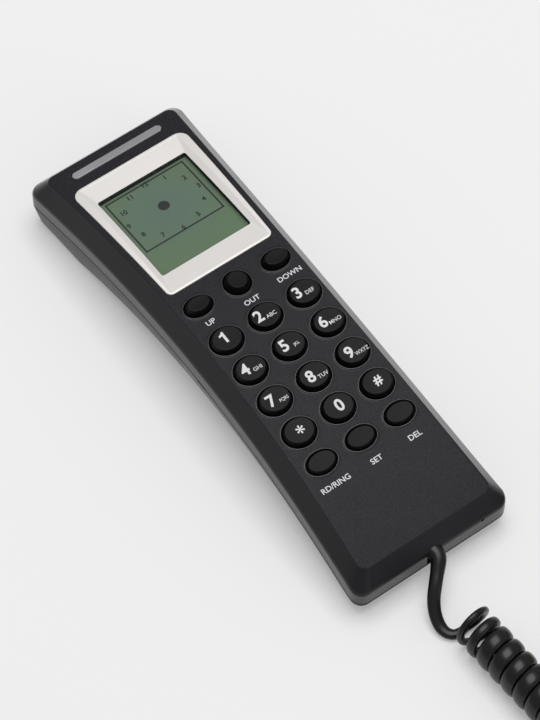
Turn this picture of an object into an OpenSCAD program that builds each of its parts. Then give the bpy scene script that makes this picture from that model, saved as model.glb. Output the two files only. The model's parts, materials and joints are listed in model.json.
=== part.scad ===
// Slim one-piece corded telephone: an arched, waisted handset with a display, eighteen keys and a
// curly cord that ends in a modular plug. Millimetres. X runs across the handset, Y along it with
// the display at +Y, Z up. The handset lies on its two end lands at z = 0.

/* [Housing] */
// Length of the raised face panel
face_l = 186; // [176:1:200]
// Width of the face panel at the waist
face_w_mid = 47.6; // [46:0.2:51]
// Width of the face panel at both ends
face_w_end = 54.2; // [52:0.2:60]
// Radius of the lengthwise arch of the face
face_r = 400; // [380:5:520]
// Where along the length the arch is highest
face_y = 8; // [2:1:14]
// Height of the arch's top above the table
face_z = 33; // [32:0.5:38]
// Thickness of the face panel
face_t = 2.2; // [1.8:0.1:2.8]
// Thickness of the other walls
shell_t = 2; // [1.6:0.1:2.4]
// Radius of the face panel's corners
corner_r = 3; // [2:0.25:5]
// Radius of the housing's outer corners
outer_corner_r = 4.5; // [3:0.25:7]
// Step round the raised face panel
face_step = 0.3; // [0.1:0.05:0.5]
// Width of the bevel round the face panel
bevel_w = 4.5; // [3.5:0.1:5.5]
// Drop of the bevel along the sides
bevel_h = 7.4; // [6:0.1:8.5]
// Drop of the bevel at the two ends
bevel_h_end = 6.4; // [5:0.1:8]
// Height of the front cover's side wall
front_wall_h = 6; // [5:0.1:7]
// Depth of the shadow line at the parting
seam_d = 0.35; // [0.1:0.05:0.5]
// Height of the shadow line at the parting
seam_h = 0.45; // [0.2:0.05:0.8]
// Radius of the arch under the handset
under_r = 330; // [300:5:420]
// Where along the length the under arch is highest
under_y = -8; // [-14:1:0]
// Height of the under arch above the table
under_z = 9.5; // [7:0.25:10.5]
// How far the back wall leans in towards the underside
back_inset = 1.3; // [0.4:0.1:1.8]
// Rounding between the back wall and the underside
edge_r = 2.5; // [1:0.25:3]
// Place of the pry notch in the left side of the parting
pry_y = -4; // [-20:1:20]
// Length of the pry notch
pry_l = 5; // [3:0.5:8]
// Height of the pry notch
pry_h = 1; // [0.7:0.1:1.4]

/* [Keys] */
// Distance of the key pad's frame from the upper end of the face
pad_back = 115.5; // [113:0.5:118]
// Distance between key columns
col_pitch = 16; // [15:0.1:16.6]
// Distance between digit rows
row_pitch = 13.8; // [13.2:0.1:14.2]
// Distance from the top digit row up to the call-list keys
top_row_gap = 16.5; // [15:0.1:17]
// Distance from the bottom digit row down to the set-up keys
low_row_gap = 12.7; // [12:0.1:14]
// Width of a digit key
digit_w = 11.8; // [9:0.1:12]
// Length of a digit key
digit_l = 10.2; // [8:0.1:10.4]
// Height of a digit key above the face
digit_h = 2.2; // [1.4:0.1:3]
// Width of the two browsing keys
browse_w = 10.2; // [8:0.1:11.5]
// Length of the two browsing keys
browse_l = 7.4; // [6:0.1:9]
// Height of the two browsing keys above the face
browse_h = 2.6; // [1.4:0.1:3.2]
// Diameter of the round call key
call_d = 9.2; // [7:0.1:10]
// Height of the round call key above the face
call_h = 2.9; // [1.6:0.1:3.4]
// Width of a set-up key
setup_w = 11; // [8:0.1:12]
// Length of a set-up key
setup_l = 7.6; // [6:0.1:9]
// Height of a set-up key above the face
setup_h = 1.4; // [1.3:0.1:2.4]
// Rounding of a key's upper edge
crown = 0.9; // [0.5:0.05:1]
// Travel of a key
key_travel = 1.2; // [0.6:0.1:1.3]
// Gap between a key and its well
key_gap = 0.4; // [0.3:0.05:0.6]
// Ledge that keeps a key in its well
key_ledge = 0.8; // [0.6:0.05:1]
// Thickness of that ledge on the lowest key
key_ledge_t = 1; // [0.8:0.1:1.5]
// Width of the raised rim round a well
rim_w = 0.5; // [0.3:0.05:0.7]
// Height of the raised rim round a well
rim_h = 0.35; // [0.2:0.05:0.6]
// Thickness of the rubber mat
mat_t = 0.8; // [0.6:0.1:1.2]
// Height of a dome beyond the key's travel
dome_spare = 0.5; // [0.3:0.1:0.8]
// Diameter of a dome at its foot
dome_d = 6; // [4:0.1:6.5]
// Gap between a dome and its key
dome_gap = 0.1; // [0.05:0.05:0.3]

/* [Board] */
// Width of the main board
board_w = 45; // [40:0.5:46]
// Thickness of the main board
board_t = 1.6; // [1:0.1:2]
// Diameter of the board posts
post_d = 5.2; // [4.5:0.1:5.6]
// Distance between the board posts across the handset
post_w = 39; // [36:0.5:40]
// Diameter of the screw cores in posts and bosses
core_d = 2; // [1.6:0.1:2.2]
// Head diameter of the board screws
board_head_d = 4; // [3.2:0.1:4.4]
// Head height of the board screws
board_head_h = 1.4; // [1:0.1:1.8]
// Diameter of the buzzer
buzzer_d = 14; // [10:0.5:18]
// Height of the buzzer
buzzer_h = 5; // [3:0.25:5.5]
// Width of the hook switch
switch_w = 9; // [7.5:0.25:11]
// Height of the hook switch
switch_h = 4; // [3:0.1:4.2]

/* [Display] */
// Distance of the display's middle from the upper end of the face
display_back = 40.6; // [39:0.1:41.5]
// Width of the display window
window_w = 36.8; // [34:0.2:37.2]
// Length of the display window
window_l = 40; // [36:0.2:40.4]
// Width of the bezel at its upper end
bezel_w_top = 47.4; // [46:0.2:48.6]
// Width of the bezel at its lower end
bezel_w_low = 43.2; // [42.6:0.2:44.4]
// Length of the bezel
bezel_l = 57.6; // [55:0.2:58]
// Radius of the bezel's upper corners
bezel_r = 4; // [2:0.25:6]
// Radius of the bezel's lower corners
bezel_r_low = 2.25; // [2:0.25:4]
// Depth of the bezel's seat in the face
bezel_seat = 1.5; // [1:0.1:1.7]
// Height of the bezel above the face
bezel_h = 0.35; // [0.2:0.05:0.8]
// Width of the bezel's flat border above and below
bezel_border = 0.9; // [0.8:0.1:1.6]
// Distance between the straight ridges beside the window
ridge_w = 41.2; // [40:0.2:41.4]
// How far the bezel's slopes sink towards the window
bezel_sink = 0.9; // [0.4:0.1:1.1]
// Clearance round pieces that drop into a pocket
fit = 0.15; // [0.1:0.05:0.25]
// How far the lens reaches past the window on each side
lens_lap = 1; // [0.6:0.1:1.3]
// Thickness of the lens
lens_t = 1; // [0.8:0.1:1.5]
// Thickness of the liquid crystal glass
glass_t = 2; // [1.4:0.1:2.6]
// Wall of the display frame
frame_wall = 2.2; // [1.6:0.1:2.4]
// Ledge under the glass in the display frame
frame_ledge = 1.2; // [0.8:0.1:1.8]
// Thickness of the display board
display_board_t = 1.2; // [0.8:0.1:1.6]
// Width of the rubber connector strip
strip_w = 1.8; // [1.2:0.1:2.4]

/* [Indicator] */
// Distance of the indicator bar from the upper end of the face
light_back = 5.6; // [5:0.1:6.4]
// Length of the indicator bar
light_l = 37; // [30:0.5:37.5]
// Width of the indicator bar
light_w = 3.2; // [2.4:0.1:3.6]
// Chamfer at the ends of the indicator bar
light_chamfer = 1; // [0.4:0.1:1.2]
// Height of the indicator bar above the face
light_h = 0.25; // [0.1:0.05:0.5]
// Flange of the indicator bar under the face
light_flange = 1; // [0.6:0.1:1.2]
// Diameter of the indicator lamps
lamp_d = 3; // [2:0.1:3.4]
// Height of the indicator lamps
lamp_h = 2.4; // [2:0.1:3]
// Thickness of the indicator board
light_board_t = 1; // [0.8:0.1:1.4]

/* [Sound] */
// Distance of the earpiece from the upper end of the housing
ear_back = 18.5; // [17.5:0.5:19.5]
// Diameter of the earpiece capsule
ear_d = 28; // [25:0.5:29]
// Height of the earpiece capsule
ear_h = 7.5; // [5:0.25:8]
// Height of the earpiece seat above the table
ear_seat = 5.2; // [5:0.1:6]
// Thickness of the earpiece gasket
gasket_t = 1; // [0.6:0.1:1.5]
// Width of the earpiece gasket
gasket_w = 3; // [2:0.25:4]
// Depth of the ear dish
dish_h = 1.5; // [0.8:0.1:1.8]
// Diameter of the ear dish
dish_d = 20; // [19:0.5:21.5]
// Diameter of a sound hole
sound_d = 2; // [1.2:0.1:2.4]
// Distance of the inner ring of sound holes from the middle
sound_r = 4.2; // [3.4:0.1:4.6]
// Place of the microphone across the handset
mic_x = 19.8; // [18:0.2:20.4]
// Height of the microphone's axis
mic_z = 10.6; // [10:0.1:11]
// Diameter of the microphone
mic_d = 6; // [4:0.1:6.4]
// Length of the microphone
mic_l = 2.7; // [2:0.1:3.2]
// Wall of the microphone's rubber boot
boot_t = 1.2; // [0.8:0.1:1.3]
// Diameter of the microphone port
port_d = 1.2; // [0.8:0.1:1.6]

/* [Hook] */
// Place of the hook plunger along the board
hook_v = -10.5; // [-13:0.5:-8]
// Diameter of the hook plunger
hook_d = 7; // [5:0.25:8]
// How far the plunger stands out of the underside
hook_out = 3; // [2.8:0.1:3.6]
// Travel of the plunger
hook_travel = 2.5; // [1.5:0.1:2.6]
// Running clearance of the plunger in its guide
hook_gap = 0.08; // [0.05:0.01:0.1]
// Width of the plunger's collar
hook_collar = 1.5; // [1:0.1:2]
// Thickness of the plunger's collar
hook_collar_t = 1; // [0.8:0.1:1.3]
// Diameter of the spring's wire
spring_wire = 0.5; // [0.4:0.05:0.6]
// Number of turns of the spring
spring_turns = 4; // [3:1:4]

/* [Fasteners] */
// Distance of the upper case screws from the middle
upper_screw_x = 22; // [21.6:0.1:22.4]
// Distance of the upper case screws from the upper end of the housing
upper_screw_back = 16; // [15.5:0.1:16.5]
// Distance of the lower case screws from the middle
lower_screw_x = 20; // [19:0.25:20.5]
// Distance of the lower case screws from the board's lower posts
lower_screw_gap = 9; // [8:0.5:11]
// Diameter of the screw bosses
boss_d = 7; // [6:0.1:7.2]
// Clearance hole for a case screw
screw_hole_d = 3.2; // [2.8:0.1:3.6]
// Shank diameter of a case screw
shank_d = 2.6; // [2.2:0.1:2.7]
// Head diameter of a case screw
head_d = 5; // [4:0.1:5.4]
// Head height of a case screw
head_h = 1.6; // [1:0.1:2]
// Material left between a screw head and the parting
head_floor = 3.4; // [2.4:0.1:4]
// Reach of a case screw into its boss
screw_reach = 6; // [4:0.25:7]

/* [Cord] */
// Width of the flat cord
cord_w = 4.8; // [4:0.1:4.9]
// Thickness of the flat cord
cord_t = 2.4; // [1.8:0.1:2.6]
// Height at which the cord leaves the housing
cord_z = 11; // [10.6:0.1:11.4]
// Radius of the notch that the cord leaves by
notch_r = 3.2; // [2.8:0.1:3.6]
// How far the gland stays back from the end face
gland_back = 1.5; // [1:0.1:1.8]
// Width of the flange that holds the gland
gland_flange = 1.8; // [1:0.1:2]
// Outer diameter of the curly part
curl_d = 15; // [12:0.1:16]
// Gap between the curls
curl_gap = 1.0; // [0.6:0.05:1.2]
// Width of the modular plug
plug_w = 9.6; // [9:0.1:10]
// Length of the modular plug
plug_l = 12.4; // [11:0.1:14]
// Height of the modular plug
plug_h = 6.6; // [6.2:0.1:7]

/* [Hidden] */
$fn = 48;

black = "#232226";
key_black = "#1b1a1d";
green = "#2f6b3f";
steel = "#b9b9bd";
end_y = face_l / 2 + bevel_w;
// Places along the handset, taken from its upper end
light_y = face_l / 2 - light_back;
display_y = face_l / 2 - display_back;
pad_y = face_l / 2 - pad_back;
ear_y = end_y - ear_back;
// Overrun of a cut, bite of a boss into its wall, and the small gap that keeps flat pieces apart
over = 1;
bite = 0.4;
touch = 0.05;

// Heights along the handset: the face, the parting line and the underside
function sag(v) = face_r - sqrt(face_r * face_r - v * v);
function face(y) = face_z - sag(y - face_y);
function face_a(y) = -asin((y - face_y) / face_r);
function bevel(y) = bevel_h + (bevel_h_end - bevel_h) * pow(min(1, abs(y) / (face_l / 2)), 8);
function part(y) = face(y) - bevel(y) - front_wall_h;
function under(y) = max(0, under_z - under_r + sqrt(under_r * under_r - pow(y - under_y, 2)));

// Half the width of the waisted face, and the corner radius of the outline grown by d
function half_w(y) = face_w_mid / 2 + (face_w_end - face_w_mid) / 2 * pow(2 * y / face_l, 2);
function corner(d) = max(1, corner_r + (outer_corner_r - corner_r) * d / bevel_w);

// Right half of a rounded outline from y0 to y1 whose half width is the function hw; q is the radius of
// its lower corners where they differ from the upper ones
function outline(hw, y0, y1, r, nc, ns, q = undef) = let (low = is_undef(q) ? r : q) [
    for (k = [0 : nc]) let (a = -90 + 90 * k / nc) [hw(y0 + low) - low + low * cos(a), y0 + low + low * sin(a)],
    for (k = [1 : ns - 1]) let (y = y0 + low + (y1 - y0 - low - r) * k / ns) [hw(y), y],
    for (k = [0 : nc]) let (a = 90 * k / nc) [hw(y1 - r) - r + r * cos(a), y1 - r + r * sin(a)]];
// Right half of an oval
function oval(w, l, n) = [for (i = [0 : n - 1])
    let (a = -90 + 180 * (i + 0.5) / n) [w / 2 * cos(a), l / 2 * sin(a)]];
function both(p) = concat(p, [for (i = [len(p) - 1 : -1 : 0]) [-p[i].x, p[i].y]]);
function lift(p, zf) = [for (q = p) [q.x, q.y, zf(q.y)]];
function body_ring(d, zf) = let (reach = face_l / 2 + d)
    lift(both(outline(function(y) half_w(y) + d, -reach, reach, corner(d), 4, 18)), zf);

// Side faces between rings of n points that follow each other from the top face down the outside
function bands(n, rings, wrap) = [
    for (j = [0 : rings - (wrap ? 1 : 2)], k = [0 : n - 1])
        let (q = (k + 1) % n, a = j * n, b = ((j + 1) % rings) * n)
            each [[a + k, a + q, b + q], [a + k, b + q, b + k]]];
// Closed solid through mirrored rings, capped by strips across the first and the last ring
module skin(rings) {
    n = len(rings[0]);
    e = (len(rings) - 1) * n;
    top = [for (i = [0 : n / 2 - 2]) [i, n - 1 - i, n - 2 - i, i + 1]];
    low = [for (i = [0 : n / 2 - 2]) [e + i, e + i + 1, e + n - 2 - i, e + n - 1 - i]];
    polyhedron([for (r = rings) each r], concat(top, bands(n, len(rings), false), low));
}
// Closed frame through mirrored rings: the last ring joins the first
module loop_skin(rings) {
    polyhedron([for (r = rings) each r], bands(len(rings[0]), len(rings), true));
}

// Places a child on the face at y, or in the key pad's flat frame
module on_face(y) {
    translate([0, y, face(y)]) rotate([face_a(y), 0, 0]) children();
}
module on_pad() {
    on_face(pad_y) children();
}
// Place along the handset, and height, of the point v on the pad frame's plane
function pad_at(v) = pad_y + v * cos(face_a(pad_y));
function pad_z(v) = face(pad_y) + v * sin(face_a(pad_y));

// Keys: node, column, row along the pad, width, length, height above the face
pad_top = 1.5 * row_pitch;
top_row = pad_top + top_row_gap;
low_row = -pad_top - low_row_gap;
DIGITS = ["key_1", "key_2", "key_3", "key_4", "key_5", "key_6", "key_7", "key_8", "key_9",
    "key_star", "key_0", "key_hash"];
SETUP = ["key_redial", "key_set", "key_delete"];
KEYS = concat(
    [["key_up", -1, top_row, browse_w, browse_l, browse_h],
     ["key_out", 0, top_row, call_d, call_d, call_h],
     ["key_down", 1, top_row, browse_w, browse_l, browse_h]],
    [for (i = [0 : 11]) [DIGITS[i], i % 3 - 1, pad_top - floor(i / 3) * row_pitch, digit_w, digit_l, digit_h]],
    [for (i = [0 : 2]) [SETUP[i], i - 1, low_row, setup_w, setup_l, setup_h]]);
// Rest gap between a key's ledge and the face, and the levels below the face
slack = 0.3;
function ledge_n(v, l) = -face_t - sag(abs(v) + l / 2 + key_ledge) - slack;
key_base = min([for (k = KEYS) ledge_n(k[2], k[4])]) - key_ledge_t;
dome_h = key_travel + dome_spare;
mat_top = key_base - dome_gap - dome_h;
board_top = mat_top - mat_t;
board_low = board_top - board_t;
post_room = key_ledge + post_d / 2 + 2;
POSTS = [for (x = [-1, 1], v = [top_row + browse_l / 2 + post_room, low_row - setup_l / 2 - post_room])
    [x * post_w / 2, v]];
post_high = POSTS[0].y;
post_low = POSTS[1].y;
SCREWS = [for (x = [-1, 1]) each [[x * upper_screw_x, end_y - upper_screw_back],
    [x * lower_screw_x, pad_at(post_low) - lower_screw_gap]]];

// Cut of a flat outline through the face panel
module through_face() {
    translate([0, 0, -face_t - 2 * over]) linear_extrude(face_t + 4 * over) children();
}
module key_outline(k, grow) {
    polygon(both(oval(k[3] + 2 * grow, k[4] + 2 * grow, 16)));
}
// Front cover: waisted arched panel, bevel and wall, with rimmed wells and the pockets of what it holds
module front_cover() {
    color(black) difference() {
        union() {
            front_shell();
            on_pad() for (k = KEYS) translate([k[1] * col_pitch, k[2], -sag(k[2])])
                rotate([-asin(k[2] / face_r), 0, 0]) translate([0, 0, -over])
                    linear_extrude(over + rim_h) key_outline(k, key_gap + rim_w);
            for (s = SCREWS) translate([s.x, s.y, part(s.y)])
                cylinder(d = boss_d, h = face(s.y) - part(s.y) - face_t + bite);
            on_pad() for (p = POSTS) translate([p.x, p.y, board_top])
                cylinder(d = post_d, h = -board_top - face_t - sag(p.y) + bite);
        }
        on_pad() for (k = KEYS) translate([k[1] * col_pitch, k[2], ledge_n(k[2], k[4]) - over])
            linear_extrude(rim_h + over - ledge_n(k[2], k[4]) + over) key_outline(k, key_gap);
        skin([bezel_ring(-fit, bezel_h + over), bezel_ring(-fit, -bezel_seat - touch)]);
        on_face(display_y) through_face() lens_outline(fit);
        on_face(light_y) through_face() light_outline(fit);
        for (s = SCREWS) translate([s.x, s.y, part(s.y) - over])
            cylinder(d = core_d, h = screw_reach + 1.5 * over);
        on_pad() for (p = POSTS) translate([p.x, p.y, board_top - over])
            cylinder(d = core_d, h = over - board_top - face_t - sag(p.y) - bite);
        notch();
        translate([mic_x, -end_y - over, mic_z + port_rise]) rotate([-90, 0, 0])
            cylinder(d = port_d, h = 2 * (shell_t + over));
    }
}
// Offset and drop of the bevel's inner corners, so that its wall keeps its thickness
bevel_len = sqrt(bevel_w * bevel_w + bevel_h * bevel_h);
in_top = (face_t * bevel_w - shell_t * bevel_len) / bevel_h;
in_low = (shell_t * bevel_len + (bevel_w - shell_t) * bevel_h) / bevel_w;
module front_shell() {
    soft = 0.5;
    skin([
        body_ring(-face_step, function(y) face(y)),
        body_ring(0, function(y) face(y) - face_step),
        body_ring(bevel_w - soft * bevel_w / bevel_h, function(y) face(y) - bevel(y) + soft),
        body_ring(bevel_w, function(y) face(y) - bevel(y) - soft),
        body_ring(bevel_w, function(y) part(y)),
        body_ring(bevel_w - shell_t, function(y) part(y)),
        body_ring(bevel_w - shell_t, function(y) face(y) - in_low * bevel(y) / bevel_h),
        body_ring(in_top, function(y) face(y) - face_t)]);
}
// Notch that the cord leaves by, cut in both covers at the lower end
module notch() {
    translate([0, -end_y - over, cord_z]) rotate([-90, 0, 0]) cylinder(r = notch_r, h = bevel_w + 2 * over);
    translate([-notch_r, -end_y - over, gland_low]) cube([2 * notch_r, bevel_w + 2 * over, cord_z - gland_low]);
}

// Places inside the housing that the back cover's bosses share with the pieces they hold
boot_d = mic_d + 2 * boot_t;
boot_l = mic_l + 2 * boot_t;
boot_y = -end_y + shell_t + bevel_w / 2 - bite;
port_rise = boot_d / 6;
cradle_t = 0.6;
ear_wall = 1.6;
ear_floor = dish_h + shell_t;
dish_r = (dish_d * dish_d / 4 + dish_h * dish_h) / (2 * dish_h);
SOUND = concat([[0, 0]], [for (i = [0 : 5]) sound_r * [cos(60 * i), sin(60 * i)]],
    [for (i = [0 : 5]) 2 * sound_r * [cos(60 * i + 30), sin(60 * i + 30)]]);
hook_r = hook_d / 2 + hook_gap;
hook_under = (under(pad_at(hook_v)) - pad_z(hook_v)) * cos(face_a(pad_y));
hook_top = hook_under + shell_t + 2 * slack;
gland_y = -end_y + gland_back;
gland_l = bevel_w;
gland_rib = 2;
gland_low = cord_z - notch_r - gland_flange;

// Back cover: arched underside, leaning wall, seats and guides
module back_cover() {
    color(black) difference() {
        union() {
            back_shell();
            for (s = SCREWS) translate([s.x, s.y, under(s.y) + shell_t / 2])
                cylinder(d = boss_d, h = part(s.y) - under(s.y) - shell_t / 2);
            intersection() {
                translate([0, ear_y, 0])
                    cylinder(d = ear_d + 2 * (fit + ear_wall), h = ear_seat + gasket_t + ear_h / 2);
                skin([
                    body_ring(bevel_w - shell_t / 2, function(y) face(y)),
                    body_ring(bevel_w - back_inset - shell_t, function(y) under(y) + shell_t / 2)]);
            }
            translate([mic_x - boot_d / 2 - cradle_t, boot_y, shell_t / 2])
                cube([boot_d + 2 * cradle_t, boot_l, mic_z - shell_t / 2]);
            on_pad() translate([0, hook_v, hook_under + shell_t / 2])
                cylinder(r = hook_r + hook_collar, h = hook_top - hook_under - shell_t / 2);
            translate([-notch_r - gland_flange, gland_y + gland_l - gland_rib, shell_t / 2])
                cube([2 * (notch_r + gland_flange), gland_rib, gland_low - shell_t / 2]);
        }
        for (s = SCREWS) {
            translate([s.x, s.y, -over]) cylinder(d = screw_hole_d, h = part(s.y) + 2 * over);
            translate([s.x, s.y, -over]) cylinder(d = head_d + 2 * fit, h = part(s.y) - head_floor + over);
        }
        translate([0, ear_y, ear_seat]) cylinder(d = ear_d + 2 * fit, h = ear_h + gasket_t);
        translate([0, ear_y, ear_floor]) cylinder(d = ear_d - 2 * gasket_w, h = ear_seat - ear_floor + over);
        translate([0, ear_y, dish_h - dish_r]) sphere(r = dish_r, $fn = 96);
        for (p = SOUND) translate([p.x, ear_y + p.y, -over]) cylinder(d = sound_d, h = ear_seat + over);
        translate([mic_x, boot_y - over, mic_z]) rotate([-90, 0, 0])
            cylinder(d = boot_d + 2 * touch, h = boot_l + 2 * over);
        on_pad() translate([0, hook_v, hook_under - hook_out])
            cylinder(r = hook_r, h = hook_top - hook_under + hook_out + over);
        notch();
        translate([-half_w(pry_y) - bevel_w - over, pry_y - pry_l / 2, part(pry_y) - pry_h])
            cube([over + shell_t / 2, pry_l, pry_h + over]);
    }
}
module back_shell() {
    foot = bevel_w - back_inset;
    round_ring = function(a) body_ring(foot - edge_r * (1 - cos(a)),
        function(y) under(y) + edge_r * (1 - sin(a)));
    skin([
        body_ring(foot - shell_t, function(y) under(y) + shell_t),
        body_ring(bevel_w - shell_t, function(y) part(y) - shell_t),
        body_ring(bevel_w - shell_t, function(y) part(y) - touch),
        body_ring(bevel_w - seam_d, function(y) part(y) - touch),
        body_ring(bevel_w - seam_d, function(y) part(y) - seam_h),
        body_ring(bevel_w, function(y) part(y) - seam_h - seam_d),
        round_ring(0),
        round_ring(30),
        round_ring(60),
        round_ring(90)]);
}

// Outlines of the bezel drawn in by e, and of the window, at height h above the face
bezel_low = display_y - bezel_l / 2;
function bezel_half(y) = (bezel_w_low + (bezel_w_top - bezel_w_low) * (y - bezel_low) / bezel_l) / 2;
function bezel_ring(e, h) = lift(both(outline(function(y) bezel_half(y) - e, bezel_low + e,
    bezel_low + bezel_l - e, bezel_r - e, 3, 8, bezel_r_low - e)), function(y) face(y) + h);
function ridge_ring(h) = lift(both(outline(function(y) ridge_w / 2, bezel_low + bezel_border,
    bezel_low + bezel_l - bezel_border, 0.5, 3, 8)), function(y) face(y) + h);
function window_ring(h) = lift(both(outline(function(y) window_w / 2, display_y - window_l / 2,
    display_y + window_l / 2, 0.8, 3, 8)), function(y) face(y) + h);
module display_bezel() {
    soft = 0.25;
    color("#d9d4cd") loop_skin([
        window_ring(bezel_h - bezel_sink),
        ridge_ring(bezel_h),
        bezel_ring(soft, bezel_h),
        bezel_ring(0, bezel_h - soft),
        bezel_ring(0, -bezel_seat),
        window_ring(-bezel_seat)]);
}
// Flat stack behind the window: lens, glass, frame, connector strip and board
lens_top = -bezel_seat - sag(window_l / 2 + lens_lap) - touch;
glass_top = lens_top - lens_t;
frame_seat = glass_top - glass_t;
frame_low = frame_seat - frame_ledge;
frame_top = -face_t - sag(window_l / 2 + lens_lap + frame_wall) - 2 * touch;
module lens_outline(grow) {
    square([window_w + 2 * (lens_lap + grow), window_l + 2 * (lens_lap + grow)], center = true);
}
module display_lens() {
    color("#c8d0cc") on_face(display_y) translate([0, 0, glass_top]) linear_extrude(lens_t) lens_outline(0);
}
module lcd_glass() {
    color("#63786a") on_face(display_y) translate([0, 0, frame_seat]) linear_extrude(glass_t) lens_outline(0);
}
module display_frame() {
    color("#e6e4de") on_face(display_y) difference() {
        translate([0, 0, frame_low]) linear_extrude(frame_top - frame_low) lens_outline(frame_wall);
        translate([0, 0, frame_seat]) linear_extrude(frame_top - frame_seat + over) lens_outline(fit);
        translate([0, 0, frame_low - over]) linear_extrude(frame_ledge + 2 * over) lens_outline(-frame_ledge);
    }
}
module display_board() {
    color(green) on_face(display_y) translate([0, 0, frame_low - display_board_t])
        linear_extrude(display_board_t) lens_outline(frame_wall);
}
module display_connector() {
    color("#d88a9a") on_face(display_y)
        translate([frame_ledge - window_w / 2, frame_ledge - window_l / 2, frame_low])
            cube([window_w - 2 * frame_ledge, strip_w, frame_ledge]);
}

// Indicator bar with chamfered ends, its lamps and their board
light_under = -face_t - sag(light_w / 2 + light_flange) - touch;
light_low = light_under - light_flange;
module light_outline(grow) {
    x = light_l / 2 + grow;
    y = light_w / 2 + grow;
    c = light_chamfer;
    polygon([[x, c - y], [x, y - c], [x - c, y], [c - x, y],
        [-x, y - c], [-x, c - y], [c - x, -y], [x - c, -y]]);
}
module indicator_lens() {
    color("#9a9a9f") on_face(light_y) union() {
        translate([0, 0, light_low]) linear_extrude(light_h - light_low) light_outline(0);
        translate([0, 0, light_low]) linear_extrude(light_flange) light_outline(light_flange);
    }
}
module indicator_lamps() {
    color("#e8e2d2") on_face(light_y) for (x = [-1, 1]) translate([x * light_l / 4, 0, light_low - lamp_h])
        cylinder(d = lamp_d, h = lamp_h);
}
module indicator_board() {
    color(green) on_face(light_y) translate([0, 0, light_low - lamp_h - light_board_t])
        linear_extrude(light_board_t) light_outline(light_flange / 2);
}

// A key: crowned top that follows the face, straight body, ledge under the face
module key(k) {
    v = k[2];
    top = function(drop) function(y) k[5] - drop - sag(v + y);
    flat = function(z) function(y) z;
    ring = function(share, grow, zf) lift(both(oval(k[3] * share + grow, k[4] * share + grow, 10)), zf);
    color(key_black) on_pad() translate([k[1] * col_pitch, v, 0]) skin([
        ring(0.7, 0, top(0)),
        ring(0.93, 0, top(crown / 3)),
        ring(1, 0, top(crown)),
        ring(1, 0, flat(ledge_n(v, k[4]))),
        ring(1, 2 * key_ledge, flat(ledge_n(v, k[4]))),
        ring(1, 2 * key_ledge, flat(key_base))]);
}

// Rubber mat with a dome under each key, on the main board
module keypad_mat() {
    edge = post_d / 2 + 2 * slack;
    color("#8b8f92") on_pad() union() {
        translate([-board_w / 2, post_low + edge, board_top])
            cube([board_w, post_high - post_low - 2 * edge, mat_t]);
        for (k = KEYS) translate([k[1] * col_pitch, k[2], board_top])
            cylinder(d1 = dome_d, d2 = 0.8 * dome_d, h = mat_t + dome_h);
    }
}
module main_board() {
    color(green) on_pad() difference() {
        translate([-board_w / 2, post_low - post_d / 2, board_low])
            cube([board_w, post_high - post_low + post_d, board_t]);
        for (p = POSTS) translate([p.x, p.y, board_low - over])
            cylinder(d = core_d + 2 * fit, h = board_t + 2 * over);
    }
}
module board_screws() {
    color(steel) on_pad() for (p = POSTS) translate([p.x, p.y, board_low - board_head_h]) {
        cylinder(d = board_head_d, h = board_head_h);
        cylinder(d = core_d, h = board_head_h - board_low - face_t - sag(p.y) - 2 * bite);
    }
}
module case_screws() {
    color(steel) for (s = SCREWS) translate([s.x, s.y, part(s.y) - head_floor - head_h]) {
        cylinder(d = head_d, h = head_h);
        cylinder(d = shank_d, h = head_h + head_floor - fit);
        cylinder(d = core_d, h = head_h + head_floor + screw_reach);
    }
}

module earpiece() {
    color("#c9c6bd") translate([0, ear_y, ear_seat + gasket_t]) difference() {
        cylinder(d = ear_d, h = ear_h);
        translate([0, 0, -over]) cylinder(d = ear_d - 2 * gasket_w, h = 2 * over);
        for (a = [0 : 60 : 300]) rotate(a) translate([ear_d / 4, 0, ear_h - over])
            cylinder(d = sound_d, h = 2 * over);
    }
}
module earpiece_gasket() {
    color("#3a3a3c") translate([0, ear_y, ear_seat]) difference() {
        cylinder(d = ear_d, h = gasket_t);
        translate([0, 0, -over]) cylinder(d = ear_d - 2 * gasket_w, h = gasket_t + 2 * over);
    }
}
module microphone() {
    color("#c0c0c4") translate([mic_x, boot_y + boot_t, mic_z]) rotate([-90, 0, 0])
        cylinder(d = mic_d, h = mic_l);
}
module microphone_boot() {
    color("#2b2b2d") translate([mic_x, boot_y, mic_z]) rotate([-90, 0, 0]) difference() {
        cylinder(d = boot_d, h = boot_l);
        translate([0, 0, boot_t]) cylinder(d = mic_d, h = mic_l);
        translate([0, -port_rise, -over]) cylinder(d = port_d, h = boot_t + 2 * over);
    }
}

// Hook plunger under the middle, with its spring and the switch on the board
switch_low = board_low - switch_h;
collar_low = hook_top + slack;
spring_low = collar_low + hook_collar_t;
module hook_plunger() {
    color("#3a3a3e") on_pad() translate([0, hook_v, 0]) {
        translate([0, 0, hook_under - hook_out]) cylinder(d = hook_d, h = spring_low - hook_under + hook_out);
        translate([0, 0, collar_low]) cylinder(d = hook_d + 2 * hook_collar, h = hook_collar_t);
        translate([0, 0, collar_low]) cylinder(d = hook_d / 3, h = switch_low - collar_low - hook_travel - bite);
    }
}
module hook_spring() {
    n = spring_turns * 12;
    r = hook_d / 2 - slack;
    low = spring_low + spring_wire / 2 + touch;
    rise = switch_low - spring_wire / 2 - touch - low;
    color("#c4c4c8") on_pad() translate([0, hook_v, 0]) tube(
        [for (i = [0 : n]) [r * cos(30 * i), r * sin(30 * i), low + rise * i / n]],
        [for (i = [0 : n]) [cos(30 * i), sin(30 * i), 0]], spring_wire, spring_wire);
}
module hook_switch() {
    color("#26262a") on_pad() translate([-switch_w / 2, hook_v - switch_w / 2, switch_low])
        cube([switch_w, switch_w, switch_h]);
}
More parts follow.
